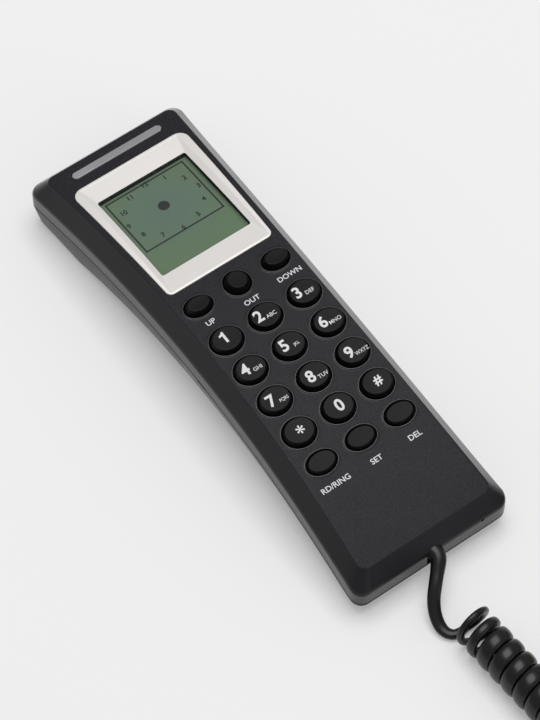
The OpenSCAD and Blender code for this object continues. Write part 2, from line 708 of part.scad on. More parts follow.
module buzzer() {
    color("#1f1f22") on_pad() translate([0, pad_top, board_low - buzzer_h]) difference() {
        cylinder(d = buzzer_d, h = buzzer_h);
        translate([0, 0, -over]) cylinder(d = sound_d, h = 2 * over);
    }
}

// Tube with a six-sided section of width w and thickness t along points p, flat across normals m
function section(w, t) = [[w / 2, 0], [w / 4, t / 2], [-w / 4, t / 2],
    [-w / 2, 0], [-w / 4, -t / 2], [w / 4, -t / 2]];
function unit(a) = a / norm(a);
function along(p, i) = unit(p[min(i + 1, len(p) - 1)] - p[max(i - 1, 0)]);
function tube_ring(p, m, i, s) = let (a = along(p, i), x = unit(cross(a, m[i])), y = cross(x, a))
    [for (q = s) p[i] + q.x * x + q.y * y];
function tube_rings(p, m, w, t) = [for (i = [0 : len(p) - 1]) tube_ring(p, m, i, section(w, t))];
module tube(p, m, w, t) {
    n = len(section(w, t));
    e = (len(p) - 1) * n;
    first = [for (k = [1 : n - 2]) [0, k + 1, k]];
    last = [for (k = [1 : n - 2]) [e, e + k, e + k + 1]];
    polyhedron([for (r = tube_rings(p, m, w, t)) each r], concat(first, bands(n, len(p), false), last));
}
// Least distance between points of rings that lie most of a turn apart
function least_gap(r, turn) = min([for (i = [0 : len(r) - turn - 4], j = [i + turn - 2 : i + turn + 3],
    a = r[i], b = r[j]) norm(a - b)]);
function length_of(p) = let (n = len(p) - 1)
    [for (i = [1 : n]) norm(p[i] - p[i - 1])] * [for (i = [1 : n]) 1];

module cord_gland() {
    r = notch_r - fit;
    color("#1d1c1f") union() {
        translate([0, gland_y, cord_z]) rotate([-90, 0, 0]) cylinder(r = r, h = gland_l);
        translate([-r, gland_y, gland_low]) cube([2 * r, gland_l, cord_z - gland_low]);
        translate([-notch_r - gland_flange, gland_y + gland_l - gland_rib, gland_low])
            cube([2 * (notch_r + gland_flange), gland_rib, cord_z - gland_low + r]);
    }
}

// The cord's route: out of the gland, down to the table and round into the first curl
lie = cord_t / 2;
LEAD = [[0, gland_y, cord_z], [0, gland_y - 2.4, cord_z], [-0.8, gland_y - 4.4, 10.8], [-3.2, -103, 9.8],
    [-6.2, -106, 8.4], [-9, -109, 6.4], [-11, -112.4, 4.2], [-11.9, -116, 2.4], [-11.6, -119, 1.5],
    [-10, -121.2, lie], [-7.6, -121.8, lie]];
// From the last curl to the plug
TAIL = [[60, -104, lie], [52, -106, lie], [45, -111, lie], [40.5, -119, lie], [38.5, -128, lie],
    [38, -136, 1.8], [38, -142, 2.8], [38, -145, 3.2], [38, -147.4, 3.2], [38, -150, 3.2]];
// The coil: two closer curls, a straight run, a half turn of the axis to +X and a run back
coil_start = [-4.9, -121.6];
coil_slant = 0.066;
bend_r = 36;
first_curls = 2;
run_curls = 8;
bend_curls = 15;
back_curls = 12;
rings_per_curl = 8;
curls = first_curls + run_curls + bend_curls + back_curls;
curl_r = (curl_d - cord_t) / 2;
curl_pitch = cord_w + curl_gap;
first_pitch = cord_w + curl_gap / 2;
first_l = first_curls * first_pitch;
run_l = first_l + run_curls * curl_pitch;
bend_l = PI * bend_r;
run_x = coil_start.x + coil_slant * run_l;
run_y = coil_start.y - run_l;
// Turn count to distance along the axis, then that distance to a heading and a place
function coil_s(u) = let (v = u - first_curls, w = v - run_curls, b = w - bend_curls)
    v < 0 ? u * first_pitch
    : w < 0 ? first_l + v * curl_pitch
    : b < 0 ? run_l + w * bend_l / bend_curls
    : run_l + bend_l + b * curl_pitch;
function coil_heading(s) = -90 + 180 / bend_l * min(max(s - run_l, 0), bend_l);
function coil_at(s) = let (h = coil_heading(s))
    s < run_l ? [coil_start.x + coil_slant * s, coil_start.y - s]
    : [run_x + bend_r * (1 + sin(h)), run_y - bend_r * cos(h) + max(0, s - run_l - bend_l)];
// Outward direction at turn u: down at whole turns, then to the left of the heading, up and back
function coil_out(u) = let (h = coil_heading(coil_s(u)), a = 360 * u)
    [-sin(h) * sin(a), cos(h) * sin(a), -cos(a)];
function coil_point(u) = let (c = coil_at(coil_s(u))) [c.x, c.y, curl_d / 2] + curl_r * coil_out(u);
COIL = [for (i = [0 : curls * rings_per_curl]) i / rings_per_curl];
cord_points = concat(LEAD, [for (u = COIL) coil_point(u)], TAIL);
cord_normals = concat(
    [for (p = LEAD) [0, 0, -1]], [for (u = COIL) coil_out(u)], [for (p = TAIL) [0, 0, -1]]);
module curly_cord() {
    echo(least_gap = least_gap(tube_rings(cord_points, cord_normals, cord_w, cord_t), rings_per_curl));
    echo(curls = curls, cord_length = length_of(cord_points));
    color("#1c1b1e") tube(cord_points, cord_normals, cord_w, cord_t);
}

// Modular plug at the far end, lying latch up
plug_at = TAIL[len(TAIL) - 1];
contact_pitch = 1.02;
contact_t = 0.2;
contact_l = 2.5;
contact_h = 2;
CONTACTS = [for (i = [-1.5 : 1 : 1.5]) plug_at.x + i * contact_pitch];
module modular_plug() {
    latch_w = plug_w / 3;
    latch_h = 2.2;
    color("#cfd6da") difference() {
        translate([plug_at.x, plug_at.y, 0]) union() {
            translate([-plug_w / 2, -plug_l, 0]) cube([plug_w, plug_l, plug_h]);
            translate([latch_w / 2, 0, plug_h - bite]) rotate([90, 0, -90]) linear_extrude(latch_w) polygon([
                [plug_l - 2, 0], [plug_l, 0], [plug_l, bite], [0, latch_h + bite], [0, latch_h - bite]]);
        }
        for (x = CONTACTS) translate([x - contact_t, plug_at.y - plug_l - over, -over])
            cube([2 * contact_t, contact_l + bite + over, contact_h + 2 * bite + over]);
    }
}
module plug_contacts() {
    color("#d8b45a") for (x = CONTACTS) translate([x - contact_t / 2, plug_at.y - plug_l + bite, 2 * bite])
        cube([contact_t, contact_l, contact_h]);
}

front_cover();
back_cover();
display_bezel();
display_lens();
lcd_glass();
display_frame();
display_board();
display_connector();
indicator_lens();
indicator_lamps();
indicator_board();
for (k = KEYS) key(k);
keypad_mat();
main_board();
board_screws();
case_screws();
earpiece();
earpiece_gasket();
microphone();
microphone_boot();
hook_plunger();
hook_spring();
hook_switch();
buzzer();
cord_gland();
curly_cord();
modular_plug();
plug_contacts();
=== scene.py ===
# %% [markdown]
# # A corded telephone
# A slim one-piece telephone lies face up on a white table: an arched, waisted handset with an indicator
# bar, a display in a silver bezel, eighteen oval keys and a curly cord. The CAD solids hold its joints and
# sizes. This lesson dresses them: surfaces that show get smooth shapes worked out with numpy, and every
# solid gets a procedural finish.

# %% The frame
import json
import math

import bmesh
import bpy
import numpy as np
from mathutils import Matrix


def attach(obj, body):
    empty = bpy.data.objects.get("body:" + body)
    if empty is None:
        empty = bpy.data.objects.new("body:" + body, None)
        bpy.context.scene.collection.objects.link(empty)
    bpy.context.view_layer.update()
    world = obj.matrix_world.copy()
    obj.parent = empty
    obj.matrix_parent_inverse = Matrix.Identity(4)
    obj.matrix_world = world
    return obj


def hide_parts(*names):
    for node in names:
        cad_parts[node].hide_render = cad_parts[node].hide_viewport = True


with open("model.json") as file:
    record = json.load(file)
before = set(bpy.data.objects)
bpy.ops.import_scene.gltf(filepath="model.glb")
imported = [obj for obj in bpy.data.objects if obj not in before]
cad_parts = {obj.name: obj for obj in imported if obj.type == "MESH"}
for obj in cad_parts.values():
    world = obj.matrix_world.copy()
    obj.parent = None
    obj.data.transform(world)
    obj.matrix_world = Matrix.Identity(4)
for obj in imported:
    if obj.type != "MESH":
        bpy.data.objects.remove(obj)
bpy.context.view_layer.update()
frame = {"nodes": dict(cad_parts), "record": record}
nodes = frame["nodes"]
scene = bpy.context.scene
scene.view_settings.view_transform = "Standard"
MM = 0.001

# %% [markdown]
# The camera looks down on the handset from the front left with a long lens. Its place could be found by
# eye, but a fit of known points, such as the corners of the display and the middles of the keys, is closer,
# so the sizes read off the picture can be trusted.

# %% The camera
AZIMUTH, ELEVATION = np.radians([-35.71, 59.28])
DISTANCE, ASIDE, ABOVE = 1093.25, 2.53, 1.12
FOCAL_PIXELS, PICTURE_H, SENSOR_H = 3168, 720, 24
level = math.cos(ELEVATION)
back = np.array([level * math.sin(AZIMUTH), -level * math.cos(AZIMUTH), math.sin(ELEVATION)])
right = np.array([math.cos(AZIMUTH), math.sin(AZIMUTH), 0])
up = np.cross(back, right)
lens = bpy.data.cameras.new("camera")
lens.sensor_fit, lens.sensor_height = "VERTICAL", SENSOR_H
lens.lens = SENSOR_H * FOCAL_PIXELS / PICTURE_H
camera = bpy.data.objects.new("camera", lens)
place = np.eye(4)
place[:3] = np.column_stack([right, up, back, (right * ASIDE + up * ABOVE + back * DISTANCE) * MM])
camera.matrix_world = Matrix(place.tolist())
scene.collection.objects.link(camera)
scene.camera = camera
print("lens", round(lens.lens, 1), "mm")

# %% [markdown]
# Materials come next, because each piece takes one as it is made. A node tree is easier to read as a sum
# than as a list of links, so a small class wraps a socket, and its operators add the Math nodes. One method
# makes every other node: it takes the type, the settings, and what goes into the sockets.


# %% Shader values and finishes
class Shade:
    """A socket of a finish: sums and products of it add Math nodes to the tree."""

    def __init__(self, finish, socket):
        self.finish, self.socket = finish, socket

    def math(self, operation, other):
        return self.finish.node("ShaderNodeMath", {"operation": operation}, {0: self, 1: other})

    def __add__(self, other):
        return self.math("ADD", other)

    def __mul__(self, other):
        return self.math("MULTIPLY", other)

    __radd__, __rmul__ = __add__, __mul__


class Finish:
    """A material whose surface is one Principled shader."""

    def __init__(self, name):
        self.material = bpy.data.materials.new(name)
        self.material.use_nodes = True
        self.tree = self.material.node_tree
        self.surface = self.tree.nodes["Principled BSDF"]
        self.place = self.node("ShaderNodeTexCoord", out="Object")

    def node(self, kind, settings=None, sockets=None, out=0):
        """A node with its settings, then its sockets' values or links; gives the socket that it puts out."""
        made = self.tree.nodes.new(kind)
        for key, value in (settings or {}).items():
            setattr(made, key, value)
        self.fill(made, sockets or {})
        return Shade(self, made.outputs[out])

    def fill(self, made, sockets):
        """Sets each socket to its number or colour, or links it to another node's socket."""
        for key, value in sockets.items():
            if isinstance(value, Shade):
                self.tree.links.new(value.socket, made.inputs[key])
            else:
                made.inputs[key].default_value = value

    def wear(self, sockets):
        self.fill(self.surface, sockets)

    def noise(self, scale, detail=2.0):
        sockets = {"Vector": self.place, "Scale": scale, "Detail": detail}
        return self.node("ShaderNodeTexNoise", {}, sockets, "Fac")

    def span(self, value, low, high):
        """How far a value has come from low to high, from 0 to 1."""
        sockets = {"Value": value, "From Min": low, "From Max": high, "To Min": 0.0, "To Max": 1.0}
        return self.node("ShaderNodeMapRange", {"clamp": True}, sockets)

    def mix(self, factor, first, second):
        return self.node("ShaderNodeMix", {"data_type": "RGBA"}, {0: factor, 6: first, 7: second}, 2)

    def bump(self, height, depth_mm):
        return self.node("ShaderNodeBump", {}, {"Height": height, "Distance": depth_mm * MM, "Strength": 1.0})


def rgb(red, green, blue):
    return (red, green, blue, 1.0)


CLOUDS, UNEVEN = 60.0, 0.12  # clouds in a metre, and how much the roughness changes between them


def moulded(name, colour, roughness, grain_mm=0.4, depth_mm=0.01, shade=0.8, metallic=0.0, coat=0.0,
            mirror=0.5):
    """Moulded stuff: a fine grain in the surface, and cloudy changes of its tone and gloss."""
    finish = Finish(name)
    grain = finish.noise(1 / (grain_mm * MM))
    cloud = finish.noise(CLOUDS, 3.0)
    dark = rgb(*(shade * c for c in colour))
    finish.wear({
        "Base Color": finish.mix(cloud, dark, rgb(*colour)), "Metallic": metallic, "Coat Weight": coat,
        "Specular IOR Level": mirror, "Roughness": roughness - UNEVEN / 2 + UNEVEN * cloud,
        "Normal": finish.bump(grain, depth_mm)})
    return finish


panel_sand = moulded("panel_sand", (0.0285, 0.027, 0.0325), 0.36, grain_mm=0.35, depth_mm=0.05, mirror=0.11)
SAND_MM, DARK_SAND, LIGHT_SAND = 0.3, rgb(0.0125, 0.0118, 0.0143), rgb(0.0355, 0.0337, 0.0404)
sand = panel_sand.span(panel_sand.noise(1 / (SAND_MM * MM), 1.0), 0.3, 0.7)
panel_sand.wear({"Base Color": panel_sand.mix(sand, DARK_SAND, LIGHT_SAND)})
bevel_satin = moulded(
    "bevel_satin", (0.0165, 0.0156, 0.0185), 0.34, grain_mm=0.25, depth_mm=0.002, mirror=0.12, coat=1.0)
bevel_satin.wear({"Coat IOR": 1.2, "Coat Roughness": 0.25})
wall_satin = moulded("wall_satin", (0.017, 0.0163, 0.0185), 0.3, grain_mm=0.25, depth_mm=0.004, mirror=0.6)
lip_gloss = moulded(
    "lip_gloss", (0.02, 0.0195, 0.0215), 0.3, grain_mm=0.25, depth_mm=0.001, mirror=0.3, coat=1.0)
lip_gloss.wear({"Coat IOR": 1.25, "Coat Roughness": 0.2})
key_satin = moulded("key_satin", (0.004, 0.0038, 0.0048), 0.34, grain_mm=0.3, depth_mm=0.004, mirror=0.12)
cord_vinyl = moulded("cord_vinyl", (0.004, 0.0037, 0.0045), 0.3, grain_mm=0.5, depth_mm=0.003, mirror=0.45)
print("finishes for", panel_sand.material.name, bevel_satin.material.name, cord_vinyl.material.name)

# %% [markdown]
# Every new piece is one or more grids of points. A grid's quads follow from its row and column counts
# alone, so the faces come from index arithmetic on whole arrays. Grids that meet share their edge points
# and are welded there, which closes seams and poles, and the outside is then found from the closed shape.


# %% From grids to a piece
WELD, SLIVER = 0.002, 0.0002  # mm: points nearer than this become one, edges shorter than this go


def grid_quads(rows, cols, first, wrap):
    """Corner numbers of a grid's quads: a point, its neighbour in the row, and the same two one row on."""
    r, c = np.meshgrid(np.arange(rows - 1), np.arange(cols if wrap else cols - 1), indexing="ij")
    d = (c + 1) % cols
    corners = [r * cols + c, r * cols + d, (r + 1) * cols + d, (r + 1) * cols + c]
    return first + np.stack(corners, -1).reshape(-1, 4)


def smooth(mesh, sharp):
    """Smooth shading that breaks at edges sharper than an angle in degrees."""
    mesh.polygons.foreach_set("use_smooth", np.ones(len(mesh.polygons), bool))
    mesh.set_sharp_from_angle(angle=math.radians(sharp))


def mesh_of(name, patches, sharp=40):
    """One welded mesh from patches: points in mm, closed round or not, and the number of their finish."""
    points, quads, tones, first = [], [], [], 0
    for grid, wrap, tone in patches:
        rows, cols = grid.shape[:2]
        points.append(grid.reshape(-1, 3))
        quads.append(grid_quads(rows, cols, first, wrap))
        tones.append(np.full(len(quads[-1]), tone))
        first += rows * cols
    mesh = bpy.data.meshes.new(name)
    mesh.from_pydata((np.concatenate(points) * MM).tolist(), [], np.concatenate(quads).tolist())
    mesh.polygons.foreach_set("material_index", np.concatenate(tones).astype(np.int32))
    shape = bmesh.new()
    shape.from_mesh(mesh)
    bmesh.ops.remove_doubles(shape, verts=shape.verts, dist=WELD * MM)
    bmesh.ops.dissolve_degenerate(shape, edges=shape.edges, dist=SLIVER * MM)
    bmesh.ops.recalc_face_normals(shape, faces=shape.faces)
    shape.to_mesh(mesh)
    shape.free()
    smooth(mesh, sharp)
    return mesh


def add_piece(mesh, finishes, body="housing", stands_for=()):
    """Shows a mesh as a piece that rides on a body, takes a slot's finish and stands for CAD nodes."""
    piece = bpy.data.objects.new(mesh.name, mesh)
    for finish in finishes:
        mesh.materials.append(finish.material)
    scene.collection.objects.link(piece)
    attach(piece, body)
    if stands_for:
        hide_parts(*stands_for)
    print(mesh.name, len(mesh.polygons), "faces on", body)
    return piece


# %% [markdown]
# The curly cord is flat, about 5 mm wide, and wound into curls that rest on the table. It leaves the lower
# end of the handset, drops, and runs out of the picture in curls. The rest of its length goes on in a half
# turn beside it. A curve with a bevel would do, but a flat cord must keep its broad side to the curl's
# axis, so the section is carried along the route with its own outward direction at each point. The first
# two curls are stretched, so they are narrower, and where the cord leaves the handset it swells to a round
# sleeve that fills its notch.

# %% The cord's route
LEAD = np.array([
    [0, -96, 11], [0, -98.4, 11], [-0.8, -100.4, 10.8], [-3.2, -103, 9.8], [-6.2, -106, 8.4], [-9, -109, 6.4],
    [-11, -112.4, 4.2], [-11.9, -116, 2.4], [-11.6, -119, 1.5], [-10, -121.2, 1.2], [-7.6, -121.8, 1.2]])
TAIL = np.array([
    [60, -104, 1.2], [52, -106, 1.2], [45, -111, 1.2], [40.5, -119, 1.2], [38.5, -128, 1.2], [38, -136, 1.8],
    [38, -142, 2.8], [38, -145, 3.2], [38, -147.4, 3.2], [38, -150, 3.2]])
CORD_W, CORD_T, CURL_D, BEND_R = 4.8, 2.4, 15, 36
COIL_X, COIL_Y, SLANT = -4.9, -121.6, 0.066
FIRST, RUN, BEND, BACK, FIRST_PITCH, PITCH = 2, 8, 15, 12, 5.3, 5.8
CURLS = FIRST + RUN + BEND + BACK
FIRST_L, BEND_L = FIRST * FIRST_PITCH, math.pi * BEND_R
RUN_L = FIRST_L + RUN * PITCH


def curls(turn):
    """The coil's points and outward directions: a circle about an axis that runs out, turns and runs back."""
    s = np.interp(turn, np.cumsum([0, FIRST, RUN, BEND, BACK]),
                  [0, FIRST_L, RUN_L, RUN_L + BEND_L, RUN_L + BEND_L + BACK * PITCH])
    h = -math.pi / 2 + math.pi / BEND_L * np.clip(s - RUN_L, 0, BEND_L)
    straight = s < RUN_L
    x = np.where(straight, COIL_X + SLANT * s, COIL_X + SLANT * RUN_L + BEND_R * (1 + np.sin(h)))
    back_y = COIL_Y - RUN_L - BEND_R * np.cos(h) + np.maximum(0, s - RUN_L - BEND_L)
    y = np.where(straight, COIL_Y - s, back_y)
    a = 2 * math.pi * turn
    outward = np.column_stack([-np.sin(h) * np.sin(a), np.cos(h) * np.sin(a), -np.cos(a)])
    return np.column_stack([x, y, np.full_like(x, CURL_D / 2)]) + (CURL_D - CORD_T) / 2 * outward, outward


def through(knots, steps):
    """Smooth curve through knots: on each span a cubic whose ends point along the neighbours' chords."""
    k = np.vstack([2 * knots[0] - knots[1], knots, 2 * knots[-1] - knots[-2]])
    t = np.linspace(0, 1, steps, endpoint=False)[None, :, None]
    a, b, c, d = (k[i:len(k) - 3 + i, None] for i in range(4))
    curve = b + 0.5 * t * (c - a + t * (2 * a - 5 * b + 4 * c - d + t * (3 * (b - c) + d - a)))
    return np.vstack([curve.reshape(-1, knots.shape[1]), knots[-1:]])


PER_TURN, STEPS = 28, 4
turns = np.arange(0, CURLS * PER_TURN + 1) / PER_TURN
coil, coil_out = curls(turns)
first_turn, last_turn = curls(np.array([0, 0.125]))[0], curls(turns[-1] - np.array([0.125, 0]))[0]
down = np.array([[0, 0, -1.0]])
lead = through(np.vstack([LEAD, first_turn]), STEPS)[:len(LEAD) * STEPS]
tail = through(np.vstack([last_turn, TAIL]), STEPS)[STEPS + 1:]
route = np.vstack([lead, coil, tail])
outward = np.vstack([np.repeat(down, len(lead), 0), coil_out, np.repeat(down, len(tail), 0)])


# %% The cord's flat sheath
def carried(path, normal, section, wide=1.0, thick=1.0):
    """A closed section carried along a path: first axis across path and normal, second along the normal.

    The first axis is drawn out or in by the shares in `wide`, and the second by those in `thick`.
    """
    run = np.gradient(path, axis=0)
    run /= np.linalg.norm(run, axis=1, keepdims=True)
    across = np.cross(run, normal)
    across /= np.linalg.norm(across, axis=1, keepdims=True)
    away = np.cross(across, run)
    across *= np.broadcast_to(wide, len(path))[:, None]
    away *= np.broadcast_to(thick, len(path))[:, None]
    return path[:, None] + section[None, :, :1] * across[:, None] + section[None, :, 1:] * away[:, None]


def squircle(width, thickness, count, power):
    """Oval section: a circle's sine and cosine, their sizes raised to 2 / power, which fills the corners."""
    a = np.arange(count) * 2 * math.pi / count
    wave = np.column_stack([np.cos(a), np.sin(a)])
    return np.sign(wave) * np.abs(wave) ** (2 / power) * [width / 2, thickness / 2]


def capped(tube):
    """A tube's rings with a point at the middle of each end ring, so that the ends are closed."""
    first, last = tube[:1].mean(1, keepdims=True), tube[-1:].mean(1, keepdims=True)
    return np.vstack([np.repeat(first, tube.shape[1], 1), tube, np.repeat(last, tube.shape[1], 1)])


# Shares of the sheath's width and thickness along the route: -1 is the notch, 0 the first curl, then by turns
WIDTHS = np.array([[-1, 1.08], [-0.92, 1.05], [-0.7, 0.82], [-0.35, 0.76], [0.15, 0.4], [0.95, 0.42],
                   [1.25, 0.62], [1.85, 0.7], [2.3, 1]])
SLEEVE = np.array([[-1, 2.15], [-0.92, 2.1], [-0.7, 1.3], [-0.5, 1]])
SHEATH_W, SHEATH_T, SHEATH_N, INWARDS = 5.7, 2.7, 24, 0.15
on_lead = np.linspace(-1, 0, len(lead), endpoint=False)
at_turn = np.concatenate([on_lead, turns, np.full(len(tail), turns[-1])])
wide, thick = np.interp(at_turn, *WIDTHS.T), np.interp(at_turn, *SLEEVE.T)
section = squircle(SHEATH_W, SHEATH_T, SHEATH_N, 2.2) - [0, INWARDS]
sheath = mesh_of("cord_sheath", [(capped(carried(route, outward, section, wide, thick)), True, 0)])
cord = add_piece(sheath, [cord_vinyl], stands_for=["curly_cord"])

# %% [markdown]
# The housing is drawn from a few curves: an arched face, a parting line that follows it, an arched
# underside that rests on the table near both ends, and a waisted outline. The CAD solid has flat facets, so
# the covers are made again from the same curves with enough points to look smooth.

# %% The housing's curves
FACE_L, FACE_Z, FACE_Y, FACE_R, FACE_T = 186, 33, 8, 400, 2.2
BEVEL_W, BEVEL_H, WALL_H, SHELL_T, STEP = 4.5, 7.4, 6, 2, 0.3
UNDER_R, UNDER_Y, UNDER_Z, WAIST, FLARE = 330, -8, 9.5, 23.8, 3.3


def sag(v):
    """Drop of the arch at a distance v from its top: a circle's radius less the height of its edge there."""
    return FACE_R - np.sqrt(FACE_R ** 2 - v * v)


def face(y):
    return FACE_Z - sag(y - FACE_Y)


def bevel(y):
    """Height of the bevel: 7.4, less 1 at the ends, reached with the eighth power of the distance."""
    return BEVEL_H - np.minimum(1, np.abs(y) / (FACE_L / 2)) ** 8


def parting(y):
    return face(y) - bevel(y) - WALL_H


def underside(y):
    """The arch underneath: a circle whose top is 9.5 mm up at y = -8, cut off at the table."""
    return np.maximum(0, UNDER_Z - UNDER_R + np.sqrt(UNDER_R ** 2 - (y - UNDER_Y) ** 2))


def half_width(y):
    """The waist: 23.8 at the middle, widening with the square of the distance to 27.1 at the ends."""
    return WAIST + FLARE * (2 * y / FACE_L) ** 2


# Places along and across the handset where its grids have their lines
PAD_Y, COLUMN, PAD_X, PAD_TOP, BELOW_ROW, CELL = -22.5, 16, 22.7, 22.7, 6.6, 16
ROWS = np.array([37.2, 20.7, 6.9, -6.9, -20.7, -33.4])
DISPLAY_Y, LIGHT_Y = 52.4, 87.4
row_y = PAD_Y + ROWS * math.cos(math.asin((FACE_Y - PAD_Y) / FACE_R))
row_edges = np.concatenate([[PAD_TOP], (row_y[1:] + row_y[:-1]) / 2, [row_y[-1] - BELOW_ROW]])[::-1]
column_edges = np.array([-PAD_X, -COLUMN / 2, COLUMN / 2, PAD_X])
ABOVE_DISPLAY, MARGIN, ARC = 83.5, 4, 6
print("key rows at", np.round(row_y, 1), "mm")


# %% The housing's outline
def evenly(edges, steps):
    """Places in even steps between each edge and the next."""
    t = np.arange(steps) / steps
    return np.append((edges[:-1, None] + np.diff(edges)[:, None] * t).ravel(), edges[-1])


def corner(grow):
    """Corner radius of the outline: 3 on the face, growing to 4.5 at the foot of the bevel."""
    return 3 + 1.5 * grow / BEVEL_W


def side(grow):
    """Right side of the outline grown outwards: an arc, the waisted side, an arc; half widths and places."""
    reach, r = FACE_L / 2 + grow, corner(grow)
    a = np.linspace(-math.pi / 2, 0, ARC, endpoint=False)
    x = half_width(reach - r) + grow - r + r * np.cos(a)
    y = r - reach + r * np.sin(a)
    long = SHARES * (reach - r)
    return np.concatenate([x, half_width(long) + grow, x[::-1]]), np.concatenate([y, long, -y[::-1]])


def across(half):
    """Places across the face for each half width: even steps over the key columns, then on to the edge."""
    margin = -half[:, None] + (half[:, None] - PAD_X) * np.arange(MARGIN) / MARGIN
    return np.hstack([margin, np.tile(INNER, (len(half), 1)), -margin[:, ::-1]])


def loop_of(x, y):
    """Border of a grid: its first row, last column, last row backwards and first column downwards."""
    return np.column_stack([np.concatenate([g[0], g[1:-1, -1], g[-1, ::-1], g[-2:0:-1, 0]]) for g in (x, y)])


INNER = evenly(column_edges, CELL)
flat_reach = FACE_L / 2 - STEP - corner(-STEP)
long_y = np.concatenate([
    np.linspace(-flat_reach, row_edges[0], 10)[:-1], evenly(row_edges, CELL)[:-1],
    np.linspace(row_edges[-1], ABOVE_DISPLAY, 41)[:-1], np.linspace(ABOVE_DISPLAY, flat_reach, 6)])
SHARES = long_y / flat_reach


def field(grow, height):
    """The whole outline as a grid of places across and along it, lifted to a height."""
    half, y = side(grow)
    x = across(half)
    y = np.tile(y[:, None], (1, x.shape[1]))
    return np.stack([x, y, height(y)], -1)


def lifted(flat, height):
    return np.column_stack([flat, height(flat[:, 1])])


def ring(grow, height):
    """The outline's border lifted to a height."""
    whole = field(grow, height)
    return lifted(loop_of(whole[..., 0], whole[..., 1]), height)


widest = 2 * (half_width(FACE_L / 2) + BEVEL_W)
print("outline of", len(ring(0, face)), "points, width", round(widest, 1), "mm")

# %% [markdown]
# The face panel has holes for the keys, the display and the indicator bar. Cutting them with a Boolean
# leaves long thin faces that spoil the reflections, so each hole gets its own patch: rows of points that
# start on the inside of the panel, climb the hole's wall, go over its lip, and spread out to the edges of a
# cell. Cells, margins and the plain lower field share their edge points.


# %% Patches of the face panel
def frame_loop(half, low, high, r, edge_n, side_n, chamfer=False, low_r=None):
    """Rounded or chamfered frame with a half width for each y, its points spread evenly on each side."""
    q = low_r or r

    def arc(x, y, start, r):
        a = np.radians(start + np.linspace(0, 45, 6))
        bend = np.column_stack([x + r * np.cos(a), y + r * np.sin(a)])
        return np.vstack([bend[:1], bend[-1:]]) if chamfer else bend

    def deal(line, n):
        s = np.concatenate([[0], np.cumsum(np.linalg.norm(np.diff(line, axis=0), axis=1))])
        at = np.linspace(0, s[-1], n)
        return np.column_stack([np.interp(at, s, line[:, 0]), np.interp(at, s, line[:, 1])])

    long = np.linspace(low + q, high - r, 30)
    x0, x1, y0, y1 = half(low + q) - q, half(high - r) - r, low + q, high - r
    lower = deal(np.vstack([arc(-x0, y0, -135, q), arc(x0, y0, -90, q)]), edge_n)
    upper = deal(np.vstack([arc(x1, y1, 45, r), arc(-x1, y1, 90, r)]), edge_n)
    straight = np.column_stack([half(long), long])
    right_side = deal(np.vstack([arc(x0, y0, -45, q), straight, arc(x1, y1, 0, r)]), side_n)
    left_side = right_side[::-1] * [-1, 1]
    return np.vstack([lower, right_side[1:-1], upper, left_side[1:-1]])


def inside(y):
    return face(y) - FACE_T


def spread(start, border, steps):
    """Rows on the face from a loop out to a border, in even steps."""
    t = np.linspace(0, 1, steps + 1)[1:, None, None]
    flat = start[None] + (border - start)[None] * t
    return np.stack([flat[..., 0], flat[..., 1], face(flat[..., 1])], -1)


def on_face(y):
    """Flat frame on the face at y: takes places across, along and out of it to the handset's own axes."""
    a = -math.asin((y - FACE_Y) / FACE_R)

    def out(x, v, n):
        return np.stack(np.broadcast_arrays(x, y + v * math.cos(a) - n * math.sin(a),
                                            face(y) + v * math.sin(a) + n * math.cos(a)), -1)
    return out


# Keys: name, column, row, then width, length, height above the face, and how far the flat top is drawn in
on_pad = on_face(PAD_Y)
NAMES = [["key_up", "key_out", "key_down"],
         ["key_1", "key_2", "key_3"], ["key_4", "key_5", "key_6"], ["key_7", "key_8", "key_9"],
         ["key_star", "key_0", "key_hash"], ["key_redial", "key_set", "key_delete"]]
DIGIT, BROWSE = (11.8, 10.2, 2.2, 0.9), (10.2, 7.4, 2.6, 1.2)
CALL, SETUP = (9.2, 9.2, 2.9, 1.5), (11, 7.6, 1.4, 0.8)
KINDS = [[BROWSE, CALL, BROWSE]] + 4 * [3 * [DIGIT]] + [3 * [SETUP]]
KEYS = [(name, col - 1, row, *KINDS[row][col])
        for row, names in enumerate(NAMES) for col, name in enumerate(names)]
KEY_GAP, LIP_H = 0.4, 0.35
LIP = np.array([[0, -0.15], [0.04, 0.75], [0.14, 0.97], [0.27, 1], [0.4, 0.92], [0.5, 0.6], [0.55, 0.15],
                [0.7, 0]])
key_turn = np.radians(-135 + np.arange(4 * CELL) * 90 / CELL)
PANEL, BEVEL, RIM, WALL = range(4)  # numbers of the front cover's finishes


def key_well(col, row, w, l):
    """Cell of the face with a key's well: border inside, hole's wall, lip's profile, border on the face."""
    x0, x1 = column_edges[col + 1], column_edges[col + 2]
    y0, y1 = row_edges[5 - row], row_edges[6 - row]
    x, y = np.meshgrid(np.linspace(x0, x1, CELL + 1), np.linspace(y0, y1, CELL + 1))
    border, v = loop_of(x, y), ROWS[row]

    def oval(grow, height):
        at = (l / 2 + KEY_GAP + grow) * np.sin(key_turn)
        x = col * COLUMN + (w / 2 + KEY_GAP + grow) * np.cos(key_turn)
        return on_pad(x, v + at, height - sag(v + at))

    lip = [oval(e, LIP_H * h) for e, h in LIP]
    well = np.array([lifted(border, inside), oval(0, -FACE_T), lip[0]])
    around = np.concatenate([lip[-1:], spread(lip[-1][:, :2], border, 4)])
    return [(well, True, PANEL), (np.array(lip), True, RIM), (around, True, PANEL)]


panel = [patch for name, col, row, w, l, h, inset in KEYS for patch in key_well(col, row, w, l)]
print(len(panel) // 3, "key wells")

